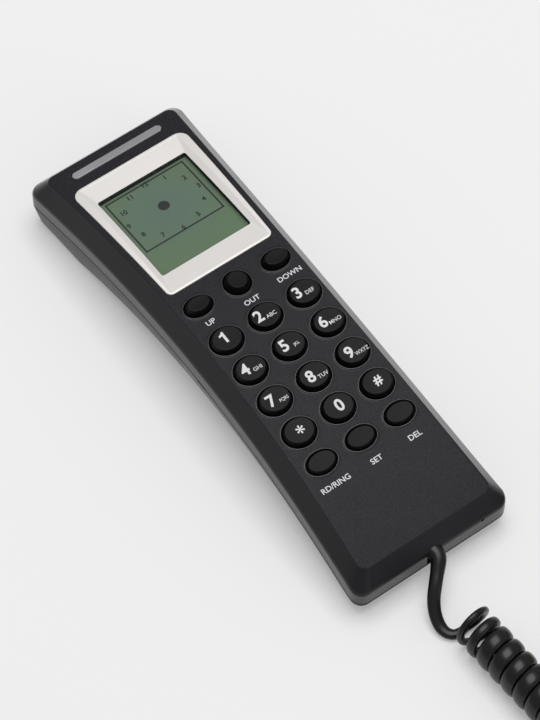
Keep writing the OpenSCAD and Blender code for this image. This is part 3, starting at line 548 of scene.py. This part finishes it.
# %% The panel's other patches
long = side(-STEP)[1]
top = field(-STEP, face)
keys_from, keys_to = np.searchsorted(long, [row_edges[0] - 0.01, row_edges[-1] - 0.01])
light_from = np.searchsorted(long, ABOVE_DISPLAY - 0.01)
EDGE_N, DISPLAY_N, LIGHT_N = top.shape[1], light_from - keys_to + 1, len(long) - light_from
BEZEL_L, BEZEL_HALF, BEZEL_FLARE, BEZEL_R, BEZEL_LOW_R, BEZEL_SEAT, FIT = 57.6, 21.6, 2.1, 4, 2.25, 1.5, 0.15
BEZEL_LOW = DISPLAY_Y - BEZEL_L / 2


def bezel_half(y):
    """The bezel tapers from 47.4 at its upper end to 43.2 at its lower."""
    return BEZEL_HALF + BEZEL_FLARE * (y - BEZEL_LOW) / BEZEL_L


def hole(rows, loops, steps):
    """Patch about a hole: border inside, loops of (outline, height), and out to the border on the face."""
    border = loop_of(rows[..., 0], rows[..., 1])
    walls = [lifted(border, inside)] + [lifted(flat, height) for flat, height in loops]
    return np.concatenate([np.array(walls), spread(loops[-1][0], border, steps)])


def seat(y):
    return face(y) - BEZEL_SEAT - 0.05


def even(half):
    """Half width that is the same all along a frame."""
    return lambda y: half + 0 * y


OPEN_W, OPEN_L, OPEN_R, SLOT_W, SLOT_L, SLOT_R = 39.1, 42.3, 0.6, 37.3, 3.5, 1.2
opening = frame_loop(even(OPEN_W / 2), DISPLAY_Y - OPEN_L / 2, DISPLAY_Y + OPEN_L / 2, OPEN_R,
                     EDGE_N, DISPLAY_N)
pocket = frame_loop(lambda y: bezel_half(y) + FIT, BEZEL_LOW - FIT, BEZEL_LOW + BEZEL_L + FIT, BEZEL_R + FIT,
                    EDGE_N, DISPLAY_N, low_r=BEZEL_LOW_R + FIT)
slot = frame_loop(even(SLOT_W / 2), LIGHT_Y - SLOT_L / 2, LIGHT_Y + SLOT_L / 2, SLOT_R, EDGE_N, LIGHT_N,
                  chamfer=True)
margins = slice(0, MARGIN + 1), slice(-MARGIN - 1, None)
plain = [top[:keys_from + 1]] + [top[keys_from:keys_to + 1, m] for m in margins]
panel += [(p, False, PANEL) for p in plain] + [(p - [0, 0, FACE_T], False, PANEL) for p in plain]
display_walls = [(opening, inside), (opening, seat), (pocket, seat), (pocket, face)]
panel.append((hole(top[keys_to:light_from + 1], display_walls, 5), True, PANEL))
panel.append((hole(top[light_from:], [(slot, inside), (slot, face)], 5), True, PANEL))
print("panel of", len(panel), "patches")

# %% [markdown]
# Round the panel runs a small step, a wide satin bevel and a low wall down to the parting line. They are
# one profile, a list of offsets and heights, carried round the outline. The edge between bevel and wall is
# a short curve, because a moulded edge always catches a thin line of light. Rings close to the bevel's two
# edges keep its shading flat.

# %% The front cover
SHOULDER_TOP, SHOULDER_FOOT, INNER_H = [-0.47, 0.77], [0, -0.9], 7.96
t = np.linspace(0, 1, 7)[:, None]
shoulder = (1 - t) ** 2 * SHOULDER_TOP + t ** 2 * SHOULDER_FOOT
outer = [ring(-STEP, face), ring(-0.2, lambda y: face(y) - 0.04), ring(-0.06, lambda y: face(y) - 0.17),
         ring(0, lambda y: face(y) - STEP)]
slope_w, slope_h = BEVEL_W + shoulder[0, 0], shoulder[0, 1]
outer += [ring(s * slope_w, lambda y, s=s: face(y) - STEP + s * (STEP + slope_h - bevel(y)))
          for s in (0.03, 0.07, 0.93, 0.97)]
outer += [ring(BEVEL_W + e, lambda y, h=h: face(y) - bevel(y) + h) for e, h in shoulder]
wall = [outer[-1], ring(BEVEL_W, lambda y: parting(y) + 0.15), ring(BEVEL_W - 0.1, parting),
        ring(BEVEL_W - SHELL_T, parting),
        ring(BEVEL_W - SHELL_T, lambda y: face(y) - INNER_H * bevel(y) / BEVEL_H), ring(-STEP, inside)]
print(len(outer) + len(wall), "rings round the panel")

# %% [markdown]
# The lower end wall of the front cover has a notch for the cord and a small microphone port. They are cut
# with a Boolean, because the wall is nearly flat there and the holes are small. The cutters are closed
# grids too.


# %% Cutters
def rod(start, end, radius, count=40):
    """Closed round rod: a circle carried from a start to an end."""
    circle = squircle(2 * radius, 2 * radius, count, 2)
    return capped(carried(np.array([start, end], float), np.tile([1.0, 0, 0], (2, 1)), circle))


def block(low, high, steps=6):
    """Closed box: a square with dealt-out sides carried along y from its low corner to its high one."""
    low, high = np.array(low, float), np.array(high, float)
    t = np.linspace(0, 1, steps, endpoint=False)
    none, whole = np.zeros(steps), np.ones(steps)
    square = np.column_stack([np.concatenate(g) for g in ((t, whole, 1 - t, none), (none, t, whole, 1 - t))])
    flat = low[[0, 2]] + square * (high - low)[[0, 2]]
    ends = [np.column_stack([flat[:, 0], np.full(len(flat), y), flat[:, 1]]) for y in (low[1], high[1])]
    return capped(np.array(ends))


COVER_SHARP = 32  # degrees


def cut(mesh, cutters):
    """The mesh with the cutters taken away from it."""
    cutter = mesh_of("cutter", [(c, True, 0) for c in cutters])
    body, tool = (bpy.data.objects.new(m.name, m) for m in (mesh, cutter))
    for thing in (body, tool):
        scene.collection.objects.link(thing)
    boolean = body.modifiers.new("cut", "BOOLEAN")
    boolean.operation, boolean.object, boolean.solver = "DIFFERENCE", tool, "EXACT"
    result = bpy.data.meshes.new_from_object(body.evaluated_get(bpy.context.evaluated_depsgraph_get()))
    result.name = mesh.name
    for thing in (body, tool):
        bpy.data.objects.remove(thing)
    smooth(result, COVER_SHARP)
    return result


END_Y, CORD_Z, NOTCH_R, NOTCH_LOW = FACE_L / 2 + BEVEL_W, 11, 3.2, 6
PORT_X, PORT_Z, PORT_R = 19.8, 12, 0.6
notch = [rod((0, -END_Y - 1, CORD_Z), (0, 1 - END_Y + BEVEL_W, CORD_Z), NOTCH_R),
         block((-NOTCH_R, -END_Y - 1.1, NOTCH_LOW), (NOTCH_R, 1.1 - END_Y + BEVEL_W, CORD_Z))]
port = rod((PORT_X, -END_Y - 1, PORT_Z), (PORT_X, 3 - END_Y, PORT_Z), PORT_R, 24)
sides = [(np.array(outer), True, BEVEL), (np.array(wall), True, WALL)]
shell = mesh_of("front_cover_shell", panel + sides, COVER_SHARP)
shell = cut(cut(shell, notch[:1] + [port]), notch[1:])
cover_finishes = [panel_sand, bevel_satin, lip_gloss, wall_satin]
add_piece(shell, cover_finishes, stands_for=["front_cover"])

# %% [markdown]
# The back cover closes the housing from below. Its wall leans in a little towards a rounded edge, and a
# groove runs along the parting line, with a small slot on the left to pry the covers apart. Underneath are
# a shallow dish with sound holes for the ear, the screw wells, and a hole for the hook plunger that is
# pushed in when the telephone is put down.

# %% The back cover
FOOT, EDGE_R, SEAM_D, SEAM_H = BEVEL_W - 1.3, 2.5, 0.35, 0.45
back_rings = [(FOOT - SHELL_T, lambda y: underside(y) + SHELL_T)]
seam = [(SHELL_T, SHELL_T), (SHELL_T, 0.05), (SEAM_D, 0.05), (SEAM_D, SEAM_H), (0.1, SEAM_H + 0.1),
        (0, SEAM_H + SEAM_D)]
back_rings += [(BEVEL_W - inwards, lambda y, drop=drop: parting(y) - drop) for inwards, drop in seam]
back_rings += [(FOOT - EDGE_R * (1 - math.cos(a)), lambda y, a=a: underside(y) + EDGE_R * (1 - math.sin(a)))
               for a in np.radians(np.linspace(0, 90, 9))]
tub = mesh_of("back_cover_shell", [
    (np.array([ring(grow, height) for grow, height in back_rings]), True, 0),
    (field(FOOT - EDGE_R, underside), False, 0),
    (field(FOOT - SHELL_T, lambda y: underside(y) + SHELL_T), False, 0)], COVER_SHARP)
EAR_Y, DISH_R, DISH_H, SCREW_R, HOOK_R = 79, 10, 1.5, 2.65, 3.58
SCREWS = [(x * s, y) for x, y in ((22, 81.5), (20, -73.98)) for s in (-1, 1)]
ball = (DISH_R ** 2 + DISH_H ** 2) / (2 * DISH_H)


def turned(profile, centre, count=64):
    """A profile of radii and heights turned once round an upright axis."""
    a = np.arange(count) * 2 * math.pi / count
    r, z = profile[:, :1], profile[:, 1:]
    return np.stack([centre[0] + r * np.cos(a), centre[1] + r * np.sin(a), np.tile(z, (1, count))], -1)


lean = np.linspace(0, math.asin((DISH_R + 3) / ball), 16)
cap = np.column_stack([ball * np.sin(lean), DISH_H - ball * (1 - np.cos(lean))])
dish = turned(np.vstack([cap, [0, cap[-1, 1]]]), (0, EAR_Y))
SOUND_R, SOUND_STEP = 1, 4.2
a = np.radians(np.arange(6) * 60)
b = a + math.pi / 6
sound = np.vstack([[[0, 0]], SOUND_STEP * np.column_stack([np.cos(a), np.sin(a)]),
                   2 * SOUND_STEP * np.column_stack([np.cos(b), np.sin(b)])])
holes = [rod((x, EAR_Y + y, -1), (x, EAR_Y + y, 6), SOUND_R, 24) for x, y in sound]
holes += [rod((x, y, -1), (x, y, 5), SCREW_R) for x, y in SCREWS]
HOOK_V, HOOK_LOW, HOOK_TOP = -10.5, -26.0, -16.0
hook = on_pad(np.zeros(2), np.full(2, HOOK_V), np.array([HOOK_LOW, HOOK_TOP]))
holes.append(rod(hook[0], hook[1], HOOK_R))
PRY_Y, PRY_L = -4, 5
pry_x, pry_z = -half_width(PRY_Y) - BEVEL_W, parting(PRY_Y)
pry = block((pry_x - 1, PRY_Y - PRY_L / 2, pry_z - 1), (pry_x + 1, PRY_Y + PRY_L / 2, pry_z + 1))
tub = cut(cut(tub, holes + notch[1:] + [pry]), [dish])
add_piece(tub, [wall_satin], stands_for=["back_cover"])
WELL_R, WELL_LOW, WELL_TOP = 3.5, 1, 9.5
tube = np.array([[SCREW_R, WELL_LOW], [WELL_R, WELL_LOW], [WELL_R, WELL_TOP], [SCREW_R, WELL_TOP],
                 [SCREW_R, WELL_LOW]])
wells = mesh_of("screw_wells", [(turned(tube + [0, underside(y)], (x, y), 40), True, 0) for x, y in SCREWS])
add_piece(wells, [wall_satin])

# %% [markdown]
# The keys are ovals with a nearly flat top, a soft edge and sides that slope out to the well. Their tops
# follow the arch of the face. Each is a stack of ovals drawn from the middle of the top outwards and down
# to the ledge that holds the key under the face.


# %% The keys
EDGE_SOFT, HOLLOW, LEDGE_W, LEDGE_GAP, KEY_LOW = 0.45, 0.06, 0.8, 0.3, -5.77


def key_shape(col, row, w, l, h, inset):
    """Stack of ovals: rows of (share of the flat top, mm drawn in, drop from the top), then the body."""
    v, drop = ROWS[row], h + 0.3
    shares = np.array([0, 0.15, 0.35, 0.55, 0.75, 0.9, 1])
    flat_top = np.column_stack([shares, np.full(len(shares), inset), HOLLOW * (1 - shares ** 2)])
    e = np.radians(np.linspace(0, 70, 6)[1:])
    soft = np.column_stack([np.ones(len(e)), inset - EDGE_SOFT * np.sin(e), EDGE_SOFT * (1 - np.cos(e))])
    rows = np.vstack([flat_top, soft, [[1, 0.16, drop - 0.9], [1, 0.05, drop - 0.5], [1, 0, drop]]])
    share, e, d = (rows[:, i:i + 1] for i in range(3))
    x, at = share * (w / 2 - e) * np.cos(key_turn), share * (l / 2 - e) * np.sin(key_turn)
    crown = on_pad(col * COLUMN + x, v + at, h - d - sag(v + at))
    ledge = -FACE_T - sag(abs(v) + l / 2 + LEDGE_W) - LEDGE_GAP

    def oval(share, grow, n):
        x, at = share * (w / 2 + grow) * np.cos(key_turn), share * (l / 2 + grow) * np.sin(key_turn)
        return on_pad(col * COLUMN + x, v + at, np.full(len(key_turn), n))

    body = [oval(1, 0, ledge), oval(1, LEDGE_W, ledge), oval(1, LEDGE_W, KEY_LOW), oval(0, 0, KEY_LOW)]
    return np.concatenate([crown, np.array(body)])


for name, col, row, w, l, h, inset in KEYS:
    shape = mesh_of(name + "_cap", [(key_shape(col, row, w, l, h, inset), True, 0)], 50)
    add_piece(shape, [key_satin], body=name, stands_for=[name])

# %% [markdown]
# The bezel is lacquered silver and shaped like a picture frame: a flat border, wide at its upper corners,
# then four faces that fall from a straight ridge to the window and meet in mitres. Under its edge the
# window's wall is dark.

# %% The bezel
bezel_silver = moulded("bezel_silver", (0.93, 0.9, 0.87), 0.33, grain_mm=0.12, depth_mm=0.0005, shade=0.97,
                       metallic=0.22, coat=0.1)
window_black = moulded("window_black", (0.02, 0.02, 0.022), 0.5)
BEZEL_H, SINK, BORDER, RIDGE, SOFT = 0.35, 0.9, 0.9, 20.6, 0.25
WINDOW_W, WINDOW_L = 36.8, 40
BEZEL_N = (60, 70)  # points on its lower and upper sides, and on its left and right sides


def over_face(flat, height):
    return lifted(flat, lambda y: face(y) + height)


def bezel_loop(inset, height):
    """The bezel's outline, drawn in and lifted off the face."""
    low, high = BEZEL_LOW + inset, BEZEL_LOW + BEZEL_L - inset
    flat = frame_loop(lambda y: bezel_half(y) - inset, low, high, BEZEL_R - inset, *BEZEL_N,
                      low_r=BEZEL_LOW_R - inset)
    return over_face(flat, height)


def ridge_loop(inset, height):
    """The straight ridge from which the faces fall to the window, drawn in and lifted."""
    low, high = BEZEL_LOW + BORDER + inset, BEZEL_LOW + BEZEL_L - BORDER - inset
    return over_face(frame_loop(even(RIDGE - inset), low, high, 0.3, *BEZEL_N), height)


def window_loop(height, grow=0.0):
    """The window's outline, grown outwards and lifted."""
    reach = WINDOW_L / 2
    low, high = DISPLAY_Y - reach - grow, DISPLAY_Y + reach + grow
    return over_face(frame_loop(even(WINDOW_W / 2 + grow), low, high, 0.7, *BEZEL_N), height)


edge = [bezel_loop(SOFT * (1 - math.sin(a)), BEZEL_H - SOFT * (1 - math.cos(a)))
        for a in np.radians(np.linspace(0, 90, 9))]
foot, crest = window_loop(BEZEL_H - SINK, 0.1), ridge_loop(0.06, BEZEL_H - 0.02)
slope = [foot + s * (crest - foot) for s in (0, 0.03, 0.06, 0.94, 0.97, 1)]
slope = [window_loop(BEZEL_H - SINK - 0.12), *slope, ridge_loop(0, BEZEL_H)]
low = [bezel_loop(0, -BEZEL_SEAT), window_loop(-BEZEL_SEAT)]
outside, window_wall = np.array(slope + edge + low), np.array([low[1], slope[0]])
bezel_mesh = mesh_of("bezel_frame", [(outside, True, 0), (window_wall, True, 1)], 16)
add_piece(bezel_mesh, [bezel_silver, window_black], stands_for=["display_bezel"])

# %% [markdown]
# Printing comes next: white digits and letters on the keys, function words on the face, and the dark signs
# of the display. Text objects are made into meshes, sized by their own height, and then laid on the surface
# they are printed on, so they follow its arch.


# %% Lettering
def word(text, height, x, y, bold, stretch=1.0):
    """Points and faces of a word `height` mm high, made wider by `stretch`, with its middle at x, y."""
    curve = bpy.data.curves.new("word", "FONT")
    curve.body, curve.offset, curve.resolution_u = text, bold, 5
    made = bpy.data.objects.new("word", curve)
    scene.collection.objects.link(made)
    mesh = bpy.data.meshes.new_from_object(made.evaluated_get(bpy.context.evaluated_depsgraph_get()))
    flat = np.empty(3 * len(mesh.vertices))
    mesh.vertices.foreach_get("co", flat)
    flat = flat.reshape(-1, 3)[:, :2]
    low, high = flat.min(0), flat.max(0)
    flat = (flat - (low + high) / 2) * height / (high[1] - low[1]) * [stretch, 1] + [x, y]
    faces = [list(p.vertices) for p in mesh.polygons]
    bpy.data.objects.remove(made)
    bpy.data.meshes.remove(mesh)
    bpy.data.curves.remove(curve)
    return flat, faces


def printed(name, words, lay):
    """One mesh of words, laid on a surface by a function of the places across and along it."""
    points, faces, first = [], [], 0
    for flat, corners in words:
        points.append(lay(flat[:, 0], flat[:, 1]))
        faces += [[first + i for i in f] for f in corners]
        first += len(flat)
    mesh = bpy.data.meshes.new(name)
    mesh.from_pydata((np.concatenate(points) * MM).tolist(), [], faces)
    return mesh


print_white = moulded("print_white", (0.82, 0.82, 0.83), 0.5, grain_mm=0.2, depth_mm=0.004, shade=0.94)
# The figure one is drawn by its corners
ONE = np.array([[0.06, -0.5], [0.27, -0.5], [0.27, 0.5], [0.11, 0.5], [0.04, 0.38], [-0.2, 0.3], [-0.2, 0.13],
                [0.06, 0.19]])
ONE_H, ONE_AT = 4.4, [-1.2, 0.7]
LETTERS = dict(key_2="ABC", key_3="DEF", key_4="GHI", key_5="JKL", key_6="MNO", key_7="PQRS", key_8="TUV",
               key_9="WXYZ")
DIGIT_H, DIGIT_BOLD, STAR_BOLD = 4.5, 0.026, 0.012
SIGNS = {"key_star": ("*", 3.2), "key_hash": ("#", 3.6)}
DIGIT_AT = {1: (-2.6, 0.7), 2: (-2.2, 0.5), 3: (-1.6, 0), 4: (0.3, 0.1)}
LETTER_H, LETTER_BOLD, LETTER_RIGHT, LETTER_DOWN, FOUR_LETTERS = 1.45, 0.007, 4.05, 1.7, 0.85
INK, FACE_INK = 0.02, 0.025
for name, col, row, w, l, h, inset in KEYS[3:15]:
    sign, height = SIGNS.get(name, (name[-1], DIGIT_H))
    letters = LETTERS.get(name)
    x, y = DIGIT_AT[row]
    words = [word(sign, height, x, y, STAR_BOLD if name == "key_star" else DIGIT_BOLD)]
    if letters:
        narrow = FOUR_LETTERS if len(letters) > 3 else 1.0
        words.append(word(letters, LETTER_H, x + LETTER_RIGHT, y - LETTER_DOWN, LETTER_BOLD, narrow))
    if name == "key_1":
        words = [(ONE * ONE_H + ONE_AT, [list(range(len(ONE)))])]

    def on_key(x, y):
        """Places on the top of the key: just above its hollow, which is deepest in the middle."""
        hollow = HOLLOW * (1 - (x / (w / 2 - inset)) ** 2 - (y / (l / 2 - inset)) ** 2)
        return on_pad(col * COLUMN + x, ROWS[row] + y, h + INK - hollow - sag(ROWS[row] + y))

    add_piece(printed(name + "_print", words, on_key), [print_white], body=name)

LABELS = [("UP", -16.1, 7.3), ("OUT", 0.2, 6.3), ("DOWN", 16.5, 7.3),
          ("RD/RING", -16.4, -64.2), ("SET", 0, -64.5), ("DEL", 15.8, -64.6)]
LABEL_H, LABEL_BOLD, LABEL_STRETCH = 1.95, 0.014, 1.08
words = [word(text, LABEL_H, x, y, LABEL_BOLD, LABEL_STRETCH) for text, x, y in LABELS]
add_piece(printed("face_print", words, lambda x, y: np.stack([x, y, face(y) + FACE_INK], -1)), [print_white])

# %% [markdown]
# The display is a grey-green glass, a little bluer in its middle, under a clear window. Its signs are a
# ring of hour numbers round a dot inside a line frame. They lie just above the glass, and so does a black
# border round its edges, partly the display's real mask and partly painted shade for the bezel walls' shadow.

# %% The display
GLASS = -3.1
HOUR_H, HOUR_BOLD, HOURS_X, HOURS_Y, HOURS_MIDDLE = 2.1, 0.034, 14.6, 11.9, 6.4
DOT_R, DOT_Y, LINE_HALF, LINE_LOW, LINE_TOP, LINE_W = 2.1, 6.5, 16.05, -6.7, 18.8, 0.64
on_display = on_face(DISPLAY_Y)


def on_glass(x, y):
    return on_display(x, y, np.full(len(x), GLASS + INK))


def glass_frame(half, low, high, r, grow):
    """A line frame on the glass, grown outwards."""
    return on_glass(*frame_loop(even(half + grow), low - grow, high + grow, r, 12, 12).T)


lcd_ink = moulded("lcd_ink", (0.012, 0.014, 0.016), 0.4, grain_mm=0.3, depth_mm=0.002)
hour = np.radians(30 * np.arange(1, 13))
signs = [word(str(k + 1), HOUR_H, HOURS_X * math.sin(q), HOURS_MIDDLE + HOURS_Y * math.cos(q), HOUR_BOLD)
         for k, q in enumerate(hour)]
add_piece(printed("display_numbers", signs, on_glass), [lcd_ink])
spin = np.radians(np.arange(48) * 7.5)
dot = np.array([on_glass(r * np.cos(spin), DOT_Y + r * np.sin(spin)) for r in (0, DOT_R)])
line = np.array([glass_frame(LINE_HALF, LINE_LOW, LINE_TOP, 0.05, g) for g in (-LINE_W / 2, LINE_W / 2)])
# Black border just outside the window on the glass: a real mask, and also painted shade where the bezel's
# walls shadow the glass
mask_and_painted_shade = np.array([glass_frame(WINDOW_W / 2, -WINDOW_L / 2, WINDOW_L / 2, 0.4, g) for g in (0, 1)])
add_piece(mesh_of("display_lines", [(dot, True, 0), (line, True, 0), (mask_and_painted_shade, True, 0)]), [lcd_ink])

# %% [markdown]
# The indicator bar at the upper end is smoked, translucent plastic with fine ribs across it. Its section is
# carried along the bar, drawn in at the chamfered ends and lifted on each rib.

# %% The indicator bar
smoked = moulded("smoked_ribs", (0.47, 0.46, 0.48), 0.32, grain_mm=0.4, depth_mm=0.12, shade=0.4, coat=0.2)
BAR_L, BAR_W, CHAMFER, RIB_H, RIBBED = 37, 3.2, 1, 0.05, 0.2
x = np.linspace(-BAR_L / 2, BAR_L / 2, 297)
half = (BAR_W / 2 - np.maximum(0, np.abs(x) - BAR_L / 2 + CHAMFER))[:, None]
rib = RIB_H * (1 - np.abs(2 * (x % 1) - 1))[:, None]
share = np.array([-1, -1, -0.97, -0.88, -0.6, -0.3, 0, 0.3, 0.6, 0.88, 0.97, 1, 1])
level = np.array([-3.2, 0.05, 0.17, 0.24, 0.25, 0.25, 0.25, 0.25, 0.25, 0.24, 0.17, 0.05, -3.2])
bar = on_face(LIGHT_Y)(x[:, None], half * share, level + rib * (level > RIBBED))
bar = mesh_of("indicator_bar", [(capped(bar), True, 0)], 60)
add_piece(bar, [smoked], stands_for=["indicator_lens"])

# %% [markdown]
# What is left of the CAD solids keeps its shape and gets a finish from its slot in the record: rubber,
# foam, circuit board, plated steel, gold. Most of it is inside, but the plug, the plunger, the screws and
# the gland can be seen.

# %% Finishes of the other solids
finishes = {
    "white_plastic": moulded("white_plastic", (0.74, 0.73, 0.69), 0.5),
    "grey_rubber": moulded("grey_rubber", (0.26, 0.28, 0.29), 0.6, depth_mm=0.02),
    "steel": moulded("plated_steel", (0.6, 0.6, 0.62), 0.32, grain_mm=0.15, depth_mm=0.004, metallic=1.0),
    "capsule_grey": moulded("capsule_grey", (0.55, 0.53, 0.47), 0.5),
    "black_foam": moulded("black_foam", (0.04, 0.04, 0.042), 0.9, grain_mm=0.6, depth_mm=0.2, shade=0.5),
    "capsule_metal": moulded("capsule_metal", (0.55, 0.55, 0.57), 0.35, metallic=1.0),
    "black_rubber": moulded("black_rubber", (0.013, 0.012, 0.014), 0.5, grain_mm=0.4, depth_mm=0.015),
    "plunger_grey": moulded("plunger_grey", (0.045, 0.045, 0.05), 0.42),
    "component_black": moulded("component_black", (0.02, 0.02, 0.022), 0.5),
    "lamp_white": moulded("lamp_white", (0.78, 0.75, 0.64), 0.25, coat=0.4),
    "gold": moulded("gold_plate", (0.8, 0.55, 0.18), 0.25, grain_mm=0.15, depth_mm=0.002, metallic=1.0)}

board = Finish("circuit_board")
bricks = {"Vector": board.place, "Scale": 120.0, "Mortar Size": 0.03}
tracks = board.node("ShaderNodeTexBrick", {"offset": 0.5}, bricks, "Fac")
board.wear({"Base Color": board.mix(tracks, rgb(0.02, 0.13, 0.05), rgb(0.04, 0.24, 0.09)), "Roughness": 0.4,
            "Normal": board.bump(tracks, 0.03)})
strip = Finish("zebra_strip")
waves = {"Vector": strip.place, "Scale": 900.0}
stripes = strip.node("ShaderNodeTexWave", {"bands_direction": "X"}, waves, "Fac")
strip.wear({"Base Color": strip.mix(stripes, rgb(0.62, 0.22, 0.3), rgb(0.04, 0.035, 0.04)), "Roughness": 0.6})
finishes.update({"circuit_board": board, "pink_rubber": strip})

glass = Finish("lcd_green")
BLUE_Y, BLUE_FROM, BLUE_TO = 4.0, 0.004, 0.021
middle = tuple(on_display(0, BLUE_Y, GLASS) * MM)
away = glass.node("ShaderNodeVectorMath", {"operation": "DISTANCE"}, {0: glass.place, 1: middle}, "Value")
far = glass.span(away, BLUE_FROM, BLUE_TO)
speck = glass.noise(900.0, 3.0)
glass.wear({"Base Color": glass.mix(far, rgb(0.137, 0.205, 0.158), rgb(0.147, 0.222, 0.13)),
            "Roughness": 0.3 + 0.1 * speck, "Normal": glass.bump(speck, 0.002)})
clear = Finish("clear_window")
haze = clear.noise(300.0)
clear.wear({"Base Color": rgb(0.9, 0.93, 0.92), "Roughness": 0.06 + 0.05 * haze})
thin = clear.node("ShaderNodeBsdfTransparent", {}, {"Color": rgb(0.97, 0.98, 0.975)})
gloss = clear.node("ShaderNodeFresnel", {}, {"IOR": 1.25}, "Fac") * (0.9 + 0.1 * haze)
mixed = clear.node("ShaderNodeMixShader", {}, {0: gloss, 1: thin, 2: Shade(clear, clear.surface.outputs[0])})
clear.fill(clear.tree.nodes["Material Output"], {"Surface": mixed})
plug_clear = Finish("plug_clear")
ripple = plug_clear.noise(220.0)
plug_clear.wear({
    "Base Color": plug_clear.mix(ripple, rgb(0.62, 0.67, 0.7), rgb(0.8, 0.84, 0.86)),
    "Roughness": 0.12 + 0.1 * ripple, "Alpha": 0.35 + 0.2 * ripple, "Normal": plug_clear.bump(ripple, 0.05),
    "Coat Weight": 0.3})
finishes.update({
    "lcd_green": glass, "clear_lens": clear, "plug_clear": plug_clear, "housing_black": wall_satin,
    "key_black": key_satin, "bezel_silver": bezel_silver, "smoked_lens": smoked, "cord_black": cord_vinyl})
for entry in frame["record"]["subparts"]:
    skin = nodes[entry["node"]].data.materials
    skin.clear()
    skin.append(finishes[entry["material_slot"]].material)
print(len(finishes), "finishes on", len(nodes), "solids")

# %% [markdown]
# The table is plain white and the light is soft: a pale sky all round and a large lamp overhead, which
# leaves only a faint shadow, and a weak lamp in front for the gloss of the lower end. The dark covers show
# their shape by what they mirror, so the white table lights their steep sides. The table's last bit of
# white is a glow that only the camera and mirroring surfaces see, so it doesn't light the object.

# %% The table and the light
paper = Finish("table_white")
mottle = paper.noise(9.0, 3.0)
ray = [paper.node("ShaderNodeLightPath", {}, {}, "Is %s Ray" % kind)
       for kind in ("Camera", "Glossy", "Transmission")]
seen = paper.mix(ray[0] + ray[1] + ray[2], rgb(0, 0, 0), rgb(1, 1, 1))
GLOW, SKY, TABLE_HALF, TABLE_Z = 0.25, 0.36, 2500, -0.05
paper.wear({"Base Color": paper.mix(mottle, rgb(0.725, 0.725, 0.725), rgb(0.735, 0.735, 0.735)),
            "Roughness": 0.9, "Specular IOR Level": 0.0, "Emission Color": seen, "Emission Strength": GLOW})
reach = np.linspace(-TABLE_HALF, TABLE_HALF, 3)
x, y = np.meshgrid(reach, reach)
ground = np.stack([x, y, np.full_like(x, TABLE_Z)], -1)
table = bpy.data.objects.new("table", mesh_of("table", [(ground, False, 0)]))
table.data.materials.append(paper.material)
scene.collection.objects.link(table)
sky = bpy.data.worlds.new("sky")
sky.use_nodes = True
backdrop = sky.node_tree.nodes["Background"].inputs
backdrop["Color"].default_value = rgb(1, 1, 1)
backdrop["Strength"].default_value = SKY
scene.world = sky


def lamp(name, place, target, size, watts):
    """Square soft lamp at a place, turned to its target; all in metres."""
    light = bpy.data.lights.new(name, "AREA")
    light.size, light.energy = size, watts
    thing = bpy.data.objects.new(name, light)
    away = np.array(place, float) - target
    away /= np.linalg.norm(away)
    beside = np.cross([0.0, 1.0, 0.001], away)
    beside /= np.linalg.norm(beside)
    turn = np.eye(4)
    turn[:3] = np.column_stack([beside, np.cross(away, beside), away, place])
    thing.matrix_world = Matrix(turn.tolist())
    scene.collection.objects.link(thing)


lamp("overhead", (0.3, 0.3, 2.5), (0.0, -0.05, 0), 1.9, 36.0)
lamp("in_front", (0.75, -2.3, 0.72), (0.0, -0.1, 0), 1.1, 4.5)
print("lit by", len(bpy.data.lights), "lamps and the sky")
